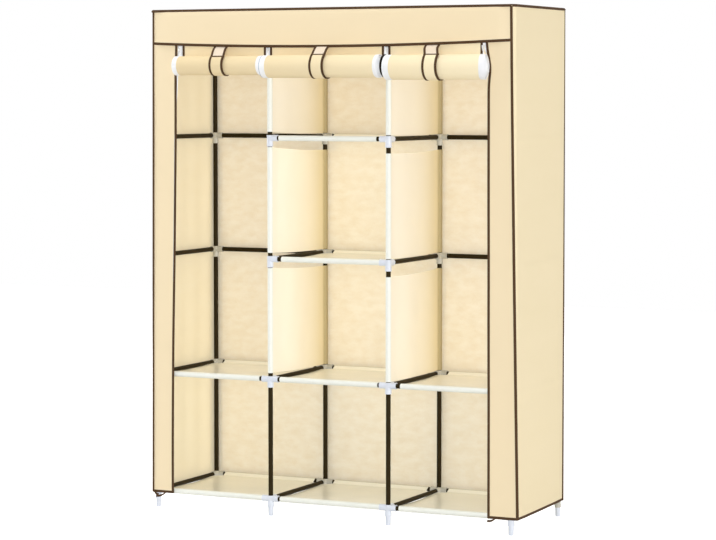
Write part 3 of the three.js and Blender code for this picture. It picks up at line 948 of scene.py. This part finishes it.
def sidePanel(sign):
    piece = coverSheet("coverSideLeft" if sign < 0 else "coverSideRight", 90, 170,
                       lambda u, v: sideShape(sign, depthAt(u), heightAt(v)),
                       (round(backSheetY - stripY, 3), coverHeight), sideCloth)
    withLitInside(piece, (sign, 0, 0), litSideInside)


def backShape(u, z):
    left, right = sideX(-1, z, backSheetY), sideX(1, z, backSheetY)
    x = left + (right - left) * u
    inside = hemmed(coverHalf - np.abs(x)) * hemmed(coverTopZ - z)
    out = 0.0010 * levelRidges(z) + 0.0016 * waves(x, z, 0.4, 23) + 0.0006 * waves(x, z, 0.09, 24)
    return stack(x, backSheetY + out * inside, z)


def backPanel():
    piece = coverSheet("coverBack", 150, 170, lambda u, v: backShape(u, heightAt(v)),
                       (round(2 * coverHalf, 3), coverHeight), sideCloth)
    withLitInside(piece, (0, 1, 0), litBackInside)


def roofPanel():
    frontEdge = stripY - 0.004

    def place(u, v):
        y = frontEdge + (backSheetY - frontEdge) * (v - 0.85 * np.sin(v * math.tau) / math.tau)
        reach = np.clip(y, stripY, backSheetY)
        left, right = sideX(-1, coverTopZ, reach), sideX(1, coverTopZ, reach)
        x = left + (right - left) * u
        overTubes = sum(bump(x, upright, 0.05) for upright in uprightXs) * 0.6 + bump(y, frontY, 0.05) + bump(y, backY, 0.05)
        sag = coverLook["roofSag"] * np.clip(1 - overTubes, 0, 1) * hemmed(coverHalf - np.abs(x))
        sag = sag * easedStep((y - frontEdge) / 0.08) * easedStep((backSheetY - y) / 0.08)
        return stack(x, y, coverTopZ - sag + 0.0004 * waves(x, y, 0.12, 25))

    coverSheet("coverRoof", 120, 60, place, (round(2 * coverHalf, 3), round(backSheetY - frontEdge, 3)), coverCloth)


# The strip's edge along the door. It drifts outwards on the way down, and the right one bulges round the roll.
def innerEdge(sign, z):
    top, low, bottom = coverLook["stripInnerRight"] if sign > 0 else coverLook["stripInnerLeft"]
    share = heightShare(z)
    place = bottom + (low - bottom) * easedStep(share / 0.92) + (top - low) * easedStep((share - 0.86) / 0.08)
    return sign * (place + (sign > 0) * 0.006 * bump(z, rollTopZ[2] - rollOuter[2], 0.042))


def stripFrontY(x, z):
    press = coverLook["rollPress"] * bump(x, rollEndX, 0.022) * bump(z, rollTopZ[0] - rollOuter[0], 0.06)
    return stripY - (0.0008 + 0.0010 * waves(x * 0.5, z, 0.33, 26) + press) * hemmed(coverTopZ - z)


def frontStrip(sign):
    def place(u, v):
        z = heightAt(v)
        outer, inner = sideX(sign, z), innerEdge(sign, z)
        x = (outer + (inner - outer) * u) if sign < 0 else (inner + (outer - inner) * u)
        return stack(x, stripFrontY(x, z), z)

    coverSheet("frontStripLeft" if sign < 0 else "frontStripRight", 24, 170, place, (0.09, coverHeight), coverCloth)


def valanceX(u):
    left, right = sideX(-1, coverTopZ), sideX(1, coverTopZ)
    return left + (right - left) * u


# share is 0 at the roof and 1 at the hem
def valanceShape(x, share):
    end = np.clip(np.abs(x) / sideX(1, coverTopZ), 0, 1)
    hem = coverTopZ - valanceHeight - valanceSag * (1 - end ** 2)
    z = coverTopZ + (hem - coverTopZ) * share
    standoff = coverLook["standoff"] * easedStep((1 - end) * coverHalf / 0.05) * easedStep(0.55 + share * 3)
    ripple = 0.0009 * waves(x, z * 0.3, 0.34, 27) * hemmed(coverHalf - np.abs(x)) * share
    return stack(x, stripY - 0.0012 - standoff - ripple, z)


for sign in (-1, 1):
    sidePanel(sign)
    frontStrip(sign)
backPanel()
roofPanel()
coverSheet("valance", 200, 16, lambda u, v: valanceShape(valanceX(u), 1 - v),
           (round(2 * coverHalf, 3), round(valanceHeight + valanceSag, 3)), coverCloth)
print("cover: panels made")

# Bound edges

def follow(piece, body, blendTo):
    if blendTo:
        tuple(blendTo[1])
        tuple(blendTo[2])
        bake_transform(piece)
    else:
        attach(piece, body)


def boundEdge(name, centre, widthways, outward, width=coverLook["hemTape"], thickness=coverLook["tapeThickness"],
              body=root, replaces=("cover",), blendTo=None, material=brownTape):
    piece = tape(name, centre, widthways, outward, width, thickness)
    paint(piece, material)
    follow(piece, body, blendTo)
    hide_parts(*replaces)


def coverBindings():
    look = coverLook
    piping = look["piping"], look["pipingThickness"]
    for sign, side in ((-1, "Left"), (1, "Right")):
        z = hemZ - 0.001 + (coverTopZ - hemZ) * np.linspace(0, 1, 90)
        boundEdge(f"seamFront{side}", stack(sideX(sign, z), stripY, z), (-sign, -1, 0), (sign, -1, 0), *piping)
        corner = stack(sideX(sign, z, backSheetY), backSheetY - look["backPipingSetback"], z)
        boundEdge(f"seamBack{side}", corner, (0, 1, 0), (sign, 0, 0), look["backPiping"], look["piping"])
        depth = depthAt(np.linspace(0, 1, 60))
        roofSide = stack(sideX(sign, coverTopZ + 0 * depth, depth), depth, coverTopZ)
        boundEdge(f"seamRoof{side}", roofSide, (sign, 0, -1), (sign, 0, 1), *piping)
        boundEdge(f"hemSide{side}", sideShape(sign, depth, hemZ + 0.003 + 0 * depth), (0, 0, 1), (sign, 0, 0))
        z = hemZ - 0.001 + (coverTopZ - hemZ) * np.linspace(0, 1, 120)
        inner = innerEdge(sign, z)
        boundEdge(f"stripEdge{side}", stack(inner + sign * 0.003, stripFrontY(inner, z), z), (1, 0, 0), (0, -1, 0))
        outer, inner = sideX(sign, hemZ), innerEdge(sign, hemZ)
        stripHem = stack(outer + (inner - outer) * np.linspace(0, 1, 20), stripFrontY(0.6, hemZ), hemZ + 0.002)
        boundEdge(f"stripHem{side}", stripHem, (0, 0, 1), (0, -1, 0))
    share = np.linspace(0, 1, 80)
    for name, y, out in (("seamRoofFront", stripY - 0.004, -1), ("seamRoofBack", backSheetY, 1)):
        boundEdge(name, stack(valanceX(share), y, coverTopZ), (0, out, -1), (0, out, 1), *piping)
    boundEdge("hemBack", backShape(share, hemZ + 0.003 + 0 * share), (0, 0, 1), (0, 1, 0))
    boundEdge("valanceHem", valanceShape(valanceX(np.linspace(0, 1, 200)), 0.985), (0, 0, 1), (0, -1, 0))


coverBindings()
print("cover: bound edges made")


# Rolled doors

doorLook = {
    "thickness": 0.001, "core": 0.009, "wave": 0.0007, "dent": 0.0012, "dentHalf": 0.035,
    "bandThickness": 0.0014, "puff": 0.0008, "coil": 0.0028, "coilPitch": 0.0011, "edgeWidth": 0.0085,
}
# At each end of a roll: how far it stops short of the door's own end, the white band's width,
# how far the inner turns stand out, and how far the front of the end leans out
rollEnds = [
    {-1: (0.0235, 0.017, 0.0, 0.0), 1: (0.001, 0.010, 0.002, 0.0)},
    {-1: (0.0035, 0.018, 0.0, 0.0), 1: (0.0035, 0.012, 0.006, 0.0)},
    {-1: (0.0160, 0.022, 0.0, 0.0), 1: (0.0, 0.018, 0.009, 0.018)},
]
# The narrow rings that show between two rolls, both painted shade: a dark one at the centre roll's right end, the
# door's brown edge in deep shade, and a grey one at its left, zip tape in shade
rollRings = {
    (1, 1): {"past": 0.0145, "lean": 0.006, "width": 0.0125, "material": shadedTape},
    (1, -1): {"past": 0.0010, "lean": 0.0, "width": 0.0042, "material": shadedZipTape},
}


def rollCentre(door):
    outer = rollOuter[door]
    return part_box(f"door_roll_{sides[door]}")[1].y - outer, rollTopZ[door] - outer


# (y, z, angle) on the door's spiral. turnShare is 0 at the core and 1 at the outer end.
def spiral(door, turnShare):
    centreY, centreZ = rollCentre(door)
    radius = doorLook["core"] + (rollOuter[door] - doorLook["core"]) * turnShare
    angle = (turnShare - 1) * rollTurns * math.tau
    return centreY + radius * np.cos(angle), centreZ + radius * np.sin(angle), angle


def rollLength(door):
    return math.pi * rollTurns * (doorLook["core"] + rollOuter[door])


# 0 at the back of the roll and 1 at its front
def frontShare(door, y):
    low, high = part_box(f"door_roll_{sides[door]}")
    return (high.y - y) / (high.y - low.y)


def rollSheet(door):
    look, side = doorLook, sides[door]
    low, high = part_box(f"door_roll_{side}")
    left = low.x + sum(rollEnds[door][-1][:2])
    right = high.x - sum(rollEnds[door][1][:2])
    lean = rollEnds[door][1][3]
    strapX = middleOf(f"door_strap_{side}").x

    def place(u, v):
        y, z, angle = spiral(door, v)
        x = left + (right - left) * u + lean * frontShare(door, y) * easedStep(u * 3 - 2)
        outwards = v ** 3
        dent = look["dent"] * np.exp(-((x - strapX) / look["dentHalf"]) ** 4) * outwards
        ripple = look["wave"] * waves(x, angle * 0.03, 0.12, 80 + door) * outwards
        return stack(x, y + (ripple - dent) * np.cos(angle), z + (ripple - dent) * np.sin(angle))

    length = rollLength(door)
    piece = gridPiece(f"doorRoll{side.capitalize()}", 50, rollTurns * 30, place, (right - left, length))
    thickened(piece, look["thickness"], -1)
    dress(piece, shadedRollCloth, "cover_cloth", body=f"rolled_door_{side}", replaces=[f"door_roll_{side}"])
    for end, edge in ((-1, left), (1, right)):
        zipBand(door, end, edge)


# The white zip tape along one side of the door, rolled up with it, and its coil
def zipBand(door, end, edge):
    look, side = doorLook, sides[door]
    _, band, bulge, lean = rollEnds[door][end]
    name = f"{side.capitalize()}{'Left' if end < 0 else 'Right'}"
    riding = {"body": f"rolled_door_{side}", "replaces": [f"door_roll_{side}"]}

    def place(u, v):
        y, z, angle = spiral(door, v)
        across = u if end > 0 else 1 - u
        x = edge + end * (band * across + bulge * (1 - v ** 2) * across + lean * frontShare(door, y))
        puff = look["puff"] * np.sin(across * math.pi)
        return stack(x, y + puff * np.cos(angle), z + puff * np.sin(angle))

    length = rollLength(door)
    piece = gridPiece(f"zipBand{name}", 8, rollTurns * 30, place, (band, length))
    thickened(piece, look["bandThickness"])
    dress(piece, zipTape, "white_zip", **riding)

    count = int(length / look["coilPitch"])
    share = np.linspace(0.02, 1, count)
    y, z, angle = spiral(door, share)
    reach = bulge * (1 - share ** 2) + lean * frontShare(door, y)
    line = stack(edge + end * (band + reach - 0.001), y, z)
    out = stack(0 * angle, np.cos(angle), np.sin(angle))
    thick = look["coil"] * (1 + 0.16 * np.cos(np.arange(count) * math.pi))
    coil = tape(f"zipCoil{name}", line, (1, 0, 0), out, look["coil"] * 1.25, thick, sides=8)
    dress(coil, zipPlastic, "white_zip", **riding)

    if (door, end) in rollRings:
        ring = rollRings[door, end]
        y, z, angle = spiral(door, np.linspace(0.83, 1, 60))
        out = stack(0 * angle, np.cos(angle), np.sin(angle))
        front = frontShare(door, y)
        line = stack(edge + end * (band + ring["past"] + ring["lean"] * front), y, z)
        boundEdge(f"rollEdge{name}", line, (1, 0, 0), out, ring["width"] * (0.3 + 0.7 * front ** 2), 0.002,
                  material=ring["material"], **riding)


for door in range(3):
    rollSheet(door)
print("doors: rolls made")


# The name of a door's rolled body, and where the door's hanging part starts and ends
def doorBlend(door):
    top = coverTopZ - valanceHeight - 0.02
    bottom = rollTopZ[door] - rollOuter[door] + 0.004
    x = middleOf(f"door_roll_{sides[door]}").x
    return f"rolled_door_{sides[door]}", (x, stripY, top), (x, stripY, bottom)


# Along the top of each zip: the coil's place, and the middles of the brown edges left and right of it
zipPlaces = [(zipXs[0] + 0.002, None, zipXs[0] + 0.0165), (zipXs[1], zipXs[1] - 0.0115, zipXs[1] + 0.0115),
             (zipXs[2] - 0.003, zipXs[2] - 0.0145, zipXs[2] + 0.0085), (zipXs[3] + 0.0035, zipXs[3] - 0.0055, None)]
zipLook = {"topGap": 0.004, "tapeThickness": 0.0012, "coilWidth": 0.0030, "coilThickness": 0.0022, "pitch": 0.0016}
zipTopZ = coverTopZ - zipLook["topGap"]


def doorSheet(door):
    side = sides[door]
    left, right = zipPlaces[door][2], zipPlaces[door + 1][1]
    body, start, end = doorBlend(door)
    roofZ = coverTopZ - 0.002
    lowZ = end[2] - 0.004

    def place(u, v):
        x, z = left + (right - left) * u, lowZ + (roofZ - lowZ) * v
        inside = easedStep((roofZ - z) / 0.05) * easedStep((z - lowZ) / 0.03)
        return stack(x, stripY - 0.0004 + 0.0006 * waves(x, z, 0.12, 90 + door) * inside, z)

    piece = gridPiece(f"doorSheet{side.capitalize()}", 60, 60, place, (right - left, roofZ - lowZ))
    thickened(piece, doorLook["thickness"])
    paint(piece, litDoorCloth)
    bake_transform(piece)
    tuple(start)
    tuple(end)
    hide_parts(f"door_sheet_{side}")


# Half of a zip: a white tape beside the coil.
def zipHalf(name, x, along, width, door=None, behind=0.0):
    look = zipLook
    blendTo = None if door is None else doorBlend(door)
    lowZ = blendTo[2][2] if blendTo else hemZ + 0.004
    count = int((zipTopZ - lowZ) / look["pitch"])
    z = np.linspace(lowZ, zipTopZ, count)
    xs = x(z) if callable(x) else np.full(count, x)
    tapeLine = stack(xs + along * width / 2, stripY - 0.0006 + behind, z)
    ribbon = tape(f"{name}Tape", tapeLine, (1, 0, 0), (0, -1, 0), width, look["tapeThickness"], sides=8)
    coilLine = stack(xs + along * 0.0012, stripY - 0.0018 + behind, z)
    wide = look["coilWidth"] * (1 + 0.14 * np.cos(np.arange(count) * math.pi))
    coil = tape(f"{name}Coil", coilLine, (1, 0, 0), (0, -1, 0), wide, look["coilThickness"], sides=8)
    for piece, material in ((ribbon, zipTape), (coil, zipPlastic)):
        paint(piece, material)
        follow(piece, root, blendTo)


def doorEdgeBinding(name, door, x):
    blendTo = doorBlend(door)
    low = blendTo[2][2]
    line = stack(x, stripY - 0.0008, low + (zipTopZ - low) * np.linspace(0, 1, 60))
    boundEdge(name, line, (1, 0, 0), (0, -1, 0), doorLook["edgeWidth"], replaces=(f"door_sheet_{sides[door]}",),
              blendTo=blendTo)


for door in range(3):
    doorSheet(door)
    side = sides[door].capitalize()
    (start, _, leftEdge), (end, rightEdge, _) = zipPlaces[door], zipPlaces[door + 1]
    zipHalf(f"zipDoor{side}Left", start + 0.0002, 1, leftEdge - start, door)
    zipHalf(f"zipDoor{side}Right", end - 0.0002, -1, end - rightEdge, door)
    doorEdgeBinding(f"doorEdge{side}Left", door, leftEdge)
    doorEdgeBinding(f"doorEdge{side}Right", door, rightEdge)

stripZip = {"top": 0.0100, "low": 0.0060, "hidden": -0.0060, "behind": 0.0020, "right": 0.004, "rightStep": 0.0105}


def leftStripZip(z):
    look, share = stripZip, heightShare(z)
    show = look["hidden"] + (look["low"] - look["hidden"]) * easedStep((share - 0.73) / 0.15)
    return innerEdge(-1, z) + show + (look["top"] - look["low"]) * easedStep((share - 0.88) / 0.04)


def rightStripZip(z):
    return innerEdge(1, z) + stripZip["right"] - stripZip["rightStep"] * easedStep((heightShare(z) - 0.895) / 0.02)


zipHalf("zipStripLeft", leftStripZip, -1, 0.0085, behind=stripZip["behind"])
zipHalf("zipStripRight", rightStripZip, 1, 0.0065, behind=stripZip["behind"])
print("doors: hanging sheets and zips made")


# Straps

strapLook = {
    "width": 0.053, "thickness": 0.0012, "edge": 0.0086, "edgeThickness": 0.0024, "hangGap": 0.0044, "clear": 0.0016,
    "lift": 0.0019, "slant": [0.014, 0.012, 0.023], "loopStart": [1, 0, 1],  # slant and start for each door
    "tip": 302,  # where the strap ends under the roll, in degrees
}


# (y, z) down the front: from the roof to the bend under the valance, and round the roll's front to its underside
def strapLine(door):
    look = strapLook
    centreY, centreZ = rollCentre(door)
    hangY = stripY - look["hangGap"]
    bendZ = coverTopZ - valanceHeight - valanceSag + 0.002
    radius = rollOuter[door] + look["clear"]
    reach = math.hypot(hangY - centreY, bendZ - centreZ)
    tangent = math.atan2(bendZ - centreZ, hangY - centreY) + math.acos(radius / reach)
    angles = np.linspace(tangent, math.radians(look["tip"]), 60)
    arc = np.stack([centreY + radius * np.cos(angles), centreZ + radius * np.sin(angles)], -1)
    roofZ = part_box(f"door_strap_{sides[door]}")[1].z - 0.004
    return np.array([stripY - 0.0026, roofZ]), np.array([hangY, bendZ]), arc


def strapPiece(name, path, door, slant, loop=False):
    look, side = strapLook, sides[door]
    path = respaced(np.concatenate([np.zeros((len(path), 1)), path], 1), 0.003)
    count, length = len(path), alongPath(path)[-1]
    middle = middleOf(f"door_strap_{side}").x
    tangent = unit(np.gradient(path, axis=0))
    normal = np.stack([np.zeros(count), -tangent[:, 2], tangent[:, 1]], -1)
    bendZ = coverTopZ - valanceHeight - valanceSag
    above = (path[:, 2] - rollTopZ[door] + 0.012) / (bendZ - rollTopZ[door] + 0.012)
    centreX = middle - slant * easedStep(above)
    half = look["width"] / 2 - look["edge"] / 2

    def place(u, v):
        step = np.rint(v * (count - 1)).astype(int)
        return stack(centreX[step] + (2 * u - 1) * half, path[step, 1], path[step, 2])

    piece = gridPiece(name, 12, count - 1, place, (look["width"], length))
    thickened(piece, look["thickness"])
    paint(piece, shadedRollCloth if loop else loopPatch)
    edges = [tape(f"{name}Edge{hand}", stack(centreX + sign * half, path[:, 1], path[:, 2]), (1, 0, 0), normal,
                  look["edge"], look["edgeThickness"]) for sign, hand in ((-1, "Left"), (1, "Right"))]
    if loop:
        endLine = stack(centreX[0] + np.linspace(-1, 1, 14) * (half + look["edge"] / 2), path[0, 1], path[0, 2])
        edges.append(tape(f"{name}End", endLine, tangent[0], normal[0], look["edge"] * 0.8, look["edgeThickness"]))
    for edge in edges:
        paint(edge, brownTape)
    for each in [piece, *edges]:
        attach(each, root)
        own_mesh(each)
        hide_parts(f"door_strap_{side}")


for door in range(3):
    side = sides[door].capitalize()
    top, bend, arc = strapLine(door)
    hanger = np.concatenate([[top], np.linspace(top, bend, 20)[1:], np.linspace(bend, arc[0], 8)[1:], arc[1:9]])
    strapPiece(f"strapHanger{side}", hanger, door, strapLook["slant"][door])
    over = arc[strapLook["loopStart"][door]:].copy()
    out = unit(over - np.array(rollCentre(door)))
    over += out * (strapLook["lift"] * (1 - easedStep(np.arange(len(over)) / 14)))[:, None]
    strapPiece(f"strapLoop{side}", over, door, 0.0, loop=True)
print("straps: made")


# Zip sliders

sliderLook = {
    "width": 0.0088, "height": 0.013, "thickness": 0.0034, "taper": 0.38, "dish": 0.0008,
    "bridge": 0.0019, "wire": 0.0005, "pull": 0.012, "pullWidth": 0.005, "pullThickness": 0.0011, "eye": 0.0011,
}


# A die-cast slider: a shield-shaped body with a bridge, and a drop-shaped pull with an eye
def zipSlider(number):
    look, node = sliderLook, f"zip_slider_{number}"
    low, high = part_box(node)
    x, backFace, thickness = (low.x + high.x) / 2, high.y, look["thickness"]
    top, bottom = high.z, high.z - look["height"]
    middleZ = (top + bottom) / 2
    nothingSelected()
    bpy.ops.mesh.primitive_cube_add(size=1, location=(x, backFace - thickness / 2, middleZ),
                                    scale=(look["width"], thickness, look["height"]))
    body = settle(named(f"zipSlider{number}"))
    only(body)
    editMode()
    bpy.ops.mesh.subdivide(number_cuts=3)
    objectMode()
    for vertex in body.data.vertices:
        share = (vertex.co.z - bottom) / look["height"]
        vertex.co.x = x + (vertex.co.x - x) * (1 - look["taper"] * (1 - share) ** 2)
        if vertex.co.y < backFace - thickness * 0.9:
            vertex.co.y += look["dish"] * (1 - math.sin(share * math.pi))
    applied(body, "BEVEL", width=0.0005, segments=3, limit_method="ANGLE", angle_limit=math.radians(50))
    bpy.ops.mesh.primitive_torus_add(major_radius=look["bridge"], minor_radius=look["wire"], major_segments=20,
                                     minor_segments=8, location=(x, backFace - thickness + 0.0003, middleZ),
                                     rotation=(0, math.pi / 2, 0))
    bridge = settle(bpy.context.object)
    pullTop = middleZ + 0.0004
    eyeZ = pullTop - look["pull"] + 0.0026
    line = [(x, low.y + 0.0006, pullTop - look["pull"] * s) for s in np.linspace(0, 1, 14)]
    widths = look["pullWidth"] * (0.62 + 0.38 * np.sin(np.linspace(0.1, math.pi * 0.93, 14)))
    pull = tape(f"zipPull{number}", line, (1, 0, 0), (0, -1, 0), widths, look["pullThickness"], sides=10)
    bored(pull, bar((x, low.y - 0.004, eyeZ), (x, backFace, eyeZ), look["eye"], 20))
    only(body, bridge, pull)
    bpy.ops.object.join()
    smooth(body, 40)
    dress(body, zipMetal, "zip_metal", body=f"slider_{number}", replaces=[node])


for number in range(1, 5):
    zipSlider(number)
print("sliders: made")


# Small tape tails at the hem

tailLook = {"width": 0.008, "thickness": 0.0016, "sag": 0.004}


def tail(name, start, reach):
    share = np.linspace(0, 1, 16)[:, None]
    line = np.array(start) + np.array(reach) * share - np.array((0, 0, tailLook["sag"])) * np.sin(share * math.pi)
    boundEdge(name, line, (0.3, 0, 1), (0, -1, 0), tailLook["width"], tailLook["thickness"])


tail("tapeTailLeft", (sideX(-1, hemZ) + 0.050, stripY - 0.001, hemZ - 0.001), (-0.038, -0.001, -0.014))
tail("tapeTailLeftShort", (sideX(-1, hemZ) + 0.004, stripY - 0.001, hemZ + 0.001), (0.018, -0.001, -0.010))
tail("tapeTailRight", (innerEdge(1, hemZ) + 0.028, stripY - 0.001, hemZ + 0.001), (-0.029, -0.001, -0.011))
print("tails: made")


# Stage, light and camera

stageLook = {"floor": 8.0, "drop": 0.0005, "grey": 0.80, "roughness": 0.6, "glow": 0.72, "world": 0.38}
# Each lamp's place, the height that it points at, its size, its power and whether it casts shadows
lamps = {
    "frontLamp": ((2.2, -9.0, 1.3), 0.85, 3.4, 80.0, True),
    "frontFill": ((2.2, -9.0, 1.3), 0.85, 3.4, 55.0, False),
    "sideFill": ((10.8, -5.0, 2.5), 0.85, 4.0, 725.0, False),
    "leftLamp": ((-4.6, -1.4, 2.0), 0.85, 2.0, 95.0, True),
    "backLamp": ((-1.6, 5.6, 2.4), 0.85, 2.6, 150.0, True),
    "topFill": ((0.0, -0.4, 4.6), 0.8, 2.4, 20.0, False),
    "topLamp": ((-0.4, -0.8, 4.6), 0.8, 2.4, 40.0, True),
}
cameraLook = {"sensor": 36, "lens": 125.71, "place": (3.6924, -7.5435, 1.4150), "down": 0.0701, "turn": 0.45217, "far": 100}


# 1 where the camera sees a surface directly or in a reflection
def seenDirectly(w):
    rays = w.node("LightPath")
    return w.math("MAXIMUM", rays.outputs["Is Camera Ray"], rays.outputs["Is Glossy Ray"])


def paleFloor():
    look = stageLook
    nothingSelected()
    bpy.ops.mesh.primitive_plane_add(size=2 * look["floor"], location=(0, 0, -look["drop"]))
    floor = named("floor")
    only(floor)
    editMode()
    bpy.ops.mesh.subdivide(number_cuts=4)
    objectMode()
    material = bpy.data.materials.new("paleFloor")
    material.use_nodes = True
    w = Wiring(material.node_tree)
    surface = material.node_tree.nodes["Principled BSDF"]
    surface.inputs["Base Color"].default_value = (look["grey"], look["grey"], look["grey"], 1)
    surface.inputs["Roughness"].default_value = look["roughness"]
    strength = w.math("MULTIPLY", seenDirectly(w), look["glow"])
    glow = w.node("Emission", {"Color": (1, 1, 1, 1), "Strength": strength})
    both = w.node("AddShader")
    w.join(surface.outputs[0], both.inputs[0])
    w.join(glow.outputs[0], both.inputs[1])
    w.join(both.outputs[0], material.node_tree.nodes["Material Output"].inputs[0])
    paint(floor, material)


def studioWorld():
    world = bpy.data.worlds.new("studio")
    bpy.context.scene.world = world
    world.use_nodes = True
    w = Wiring(world.node_tree)
    background = world.node_tree.nodes["Background"]
    background.inputs["Color"].default_value = (1, 1, 1, 1)
    more = w.math("MULTIPLY", seenDirectly(w), 1 - stageLook["world"])
    w.join(w.math("ADD", stageLook["world"], more), background.inputs["Strength"])


def areaLight(name, place, targetZ, size, power, shadows):
    light = bpy.data.lights.new(name, "AREA")
    light.shape, light.size, light.energy, light.use_shadow = "DISK", size, power, shadows
    lamp = bpy.data.objects.new(name, light)
    bpy.context.scene.collection.objects.link(lamp)
    lamp.location = place
    lamp.rotation_euler = (Vector((0, 0, targetZ)) - Vector(place)).to_track_quat("-Z", "Y").to_euler()


def camera():
    look = cameraLook
    data = bpy.data.cameras.new("photoCamera")
    data.sensor_width, data.lens, data.clip_end = look["sensor"], look["lens"], look["far"]
    eye = bpy.data.objects.new("photoCamera", data)
    bpy.context.scene.collection.objects.link(eye)
    eye.location = look["place"]
    eye.rotation_euler = (math.pi / 2 - look["down"], 0, look["turn"])
    bpy.context.scene.camera = eye


paleFloor()
studioWorld()
for name, settings in lamps.items():
    areaLight(name, *settings)
camera()
bpy.context.scene.view_settings.view_transform = "Standard"
print("stage: made")

bpy.context.view_layer.update()
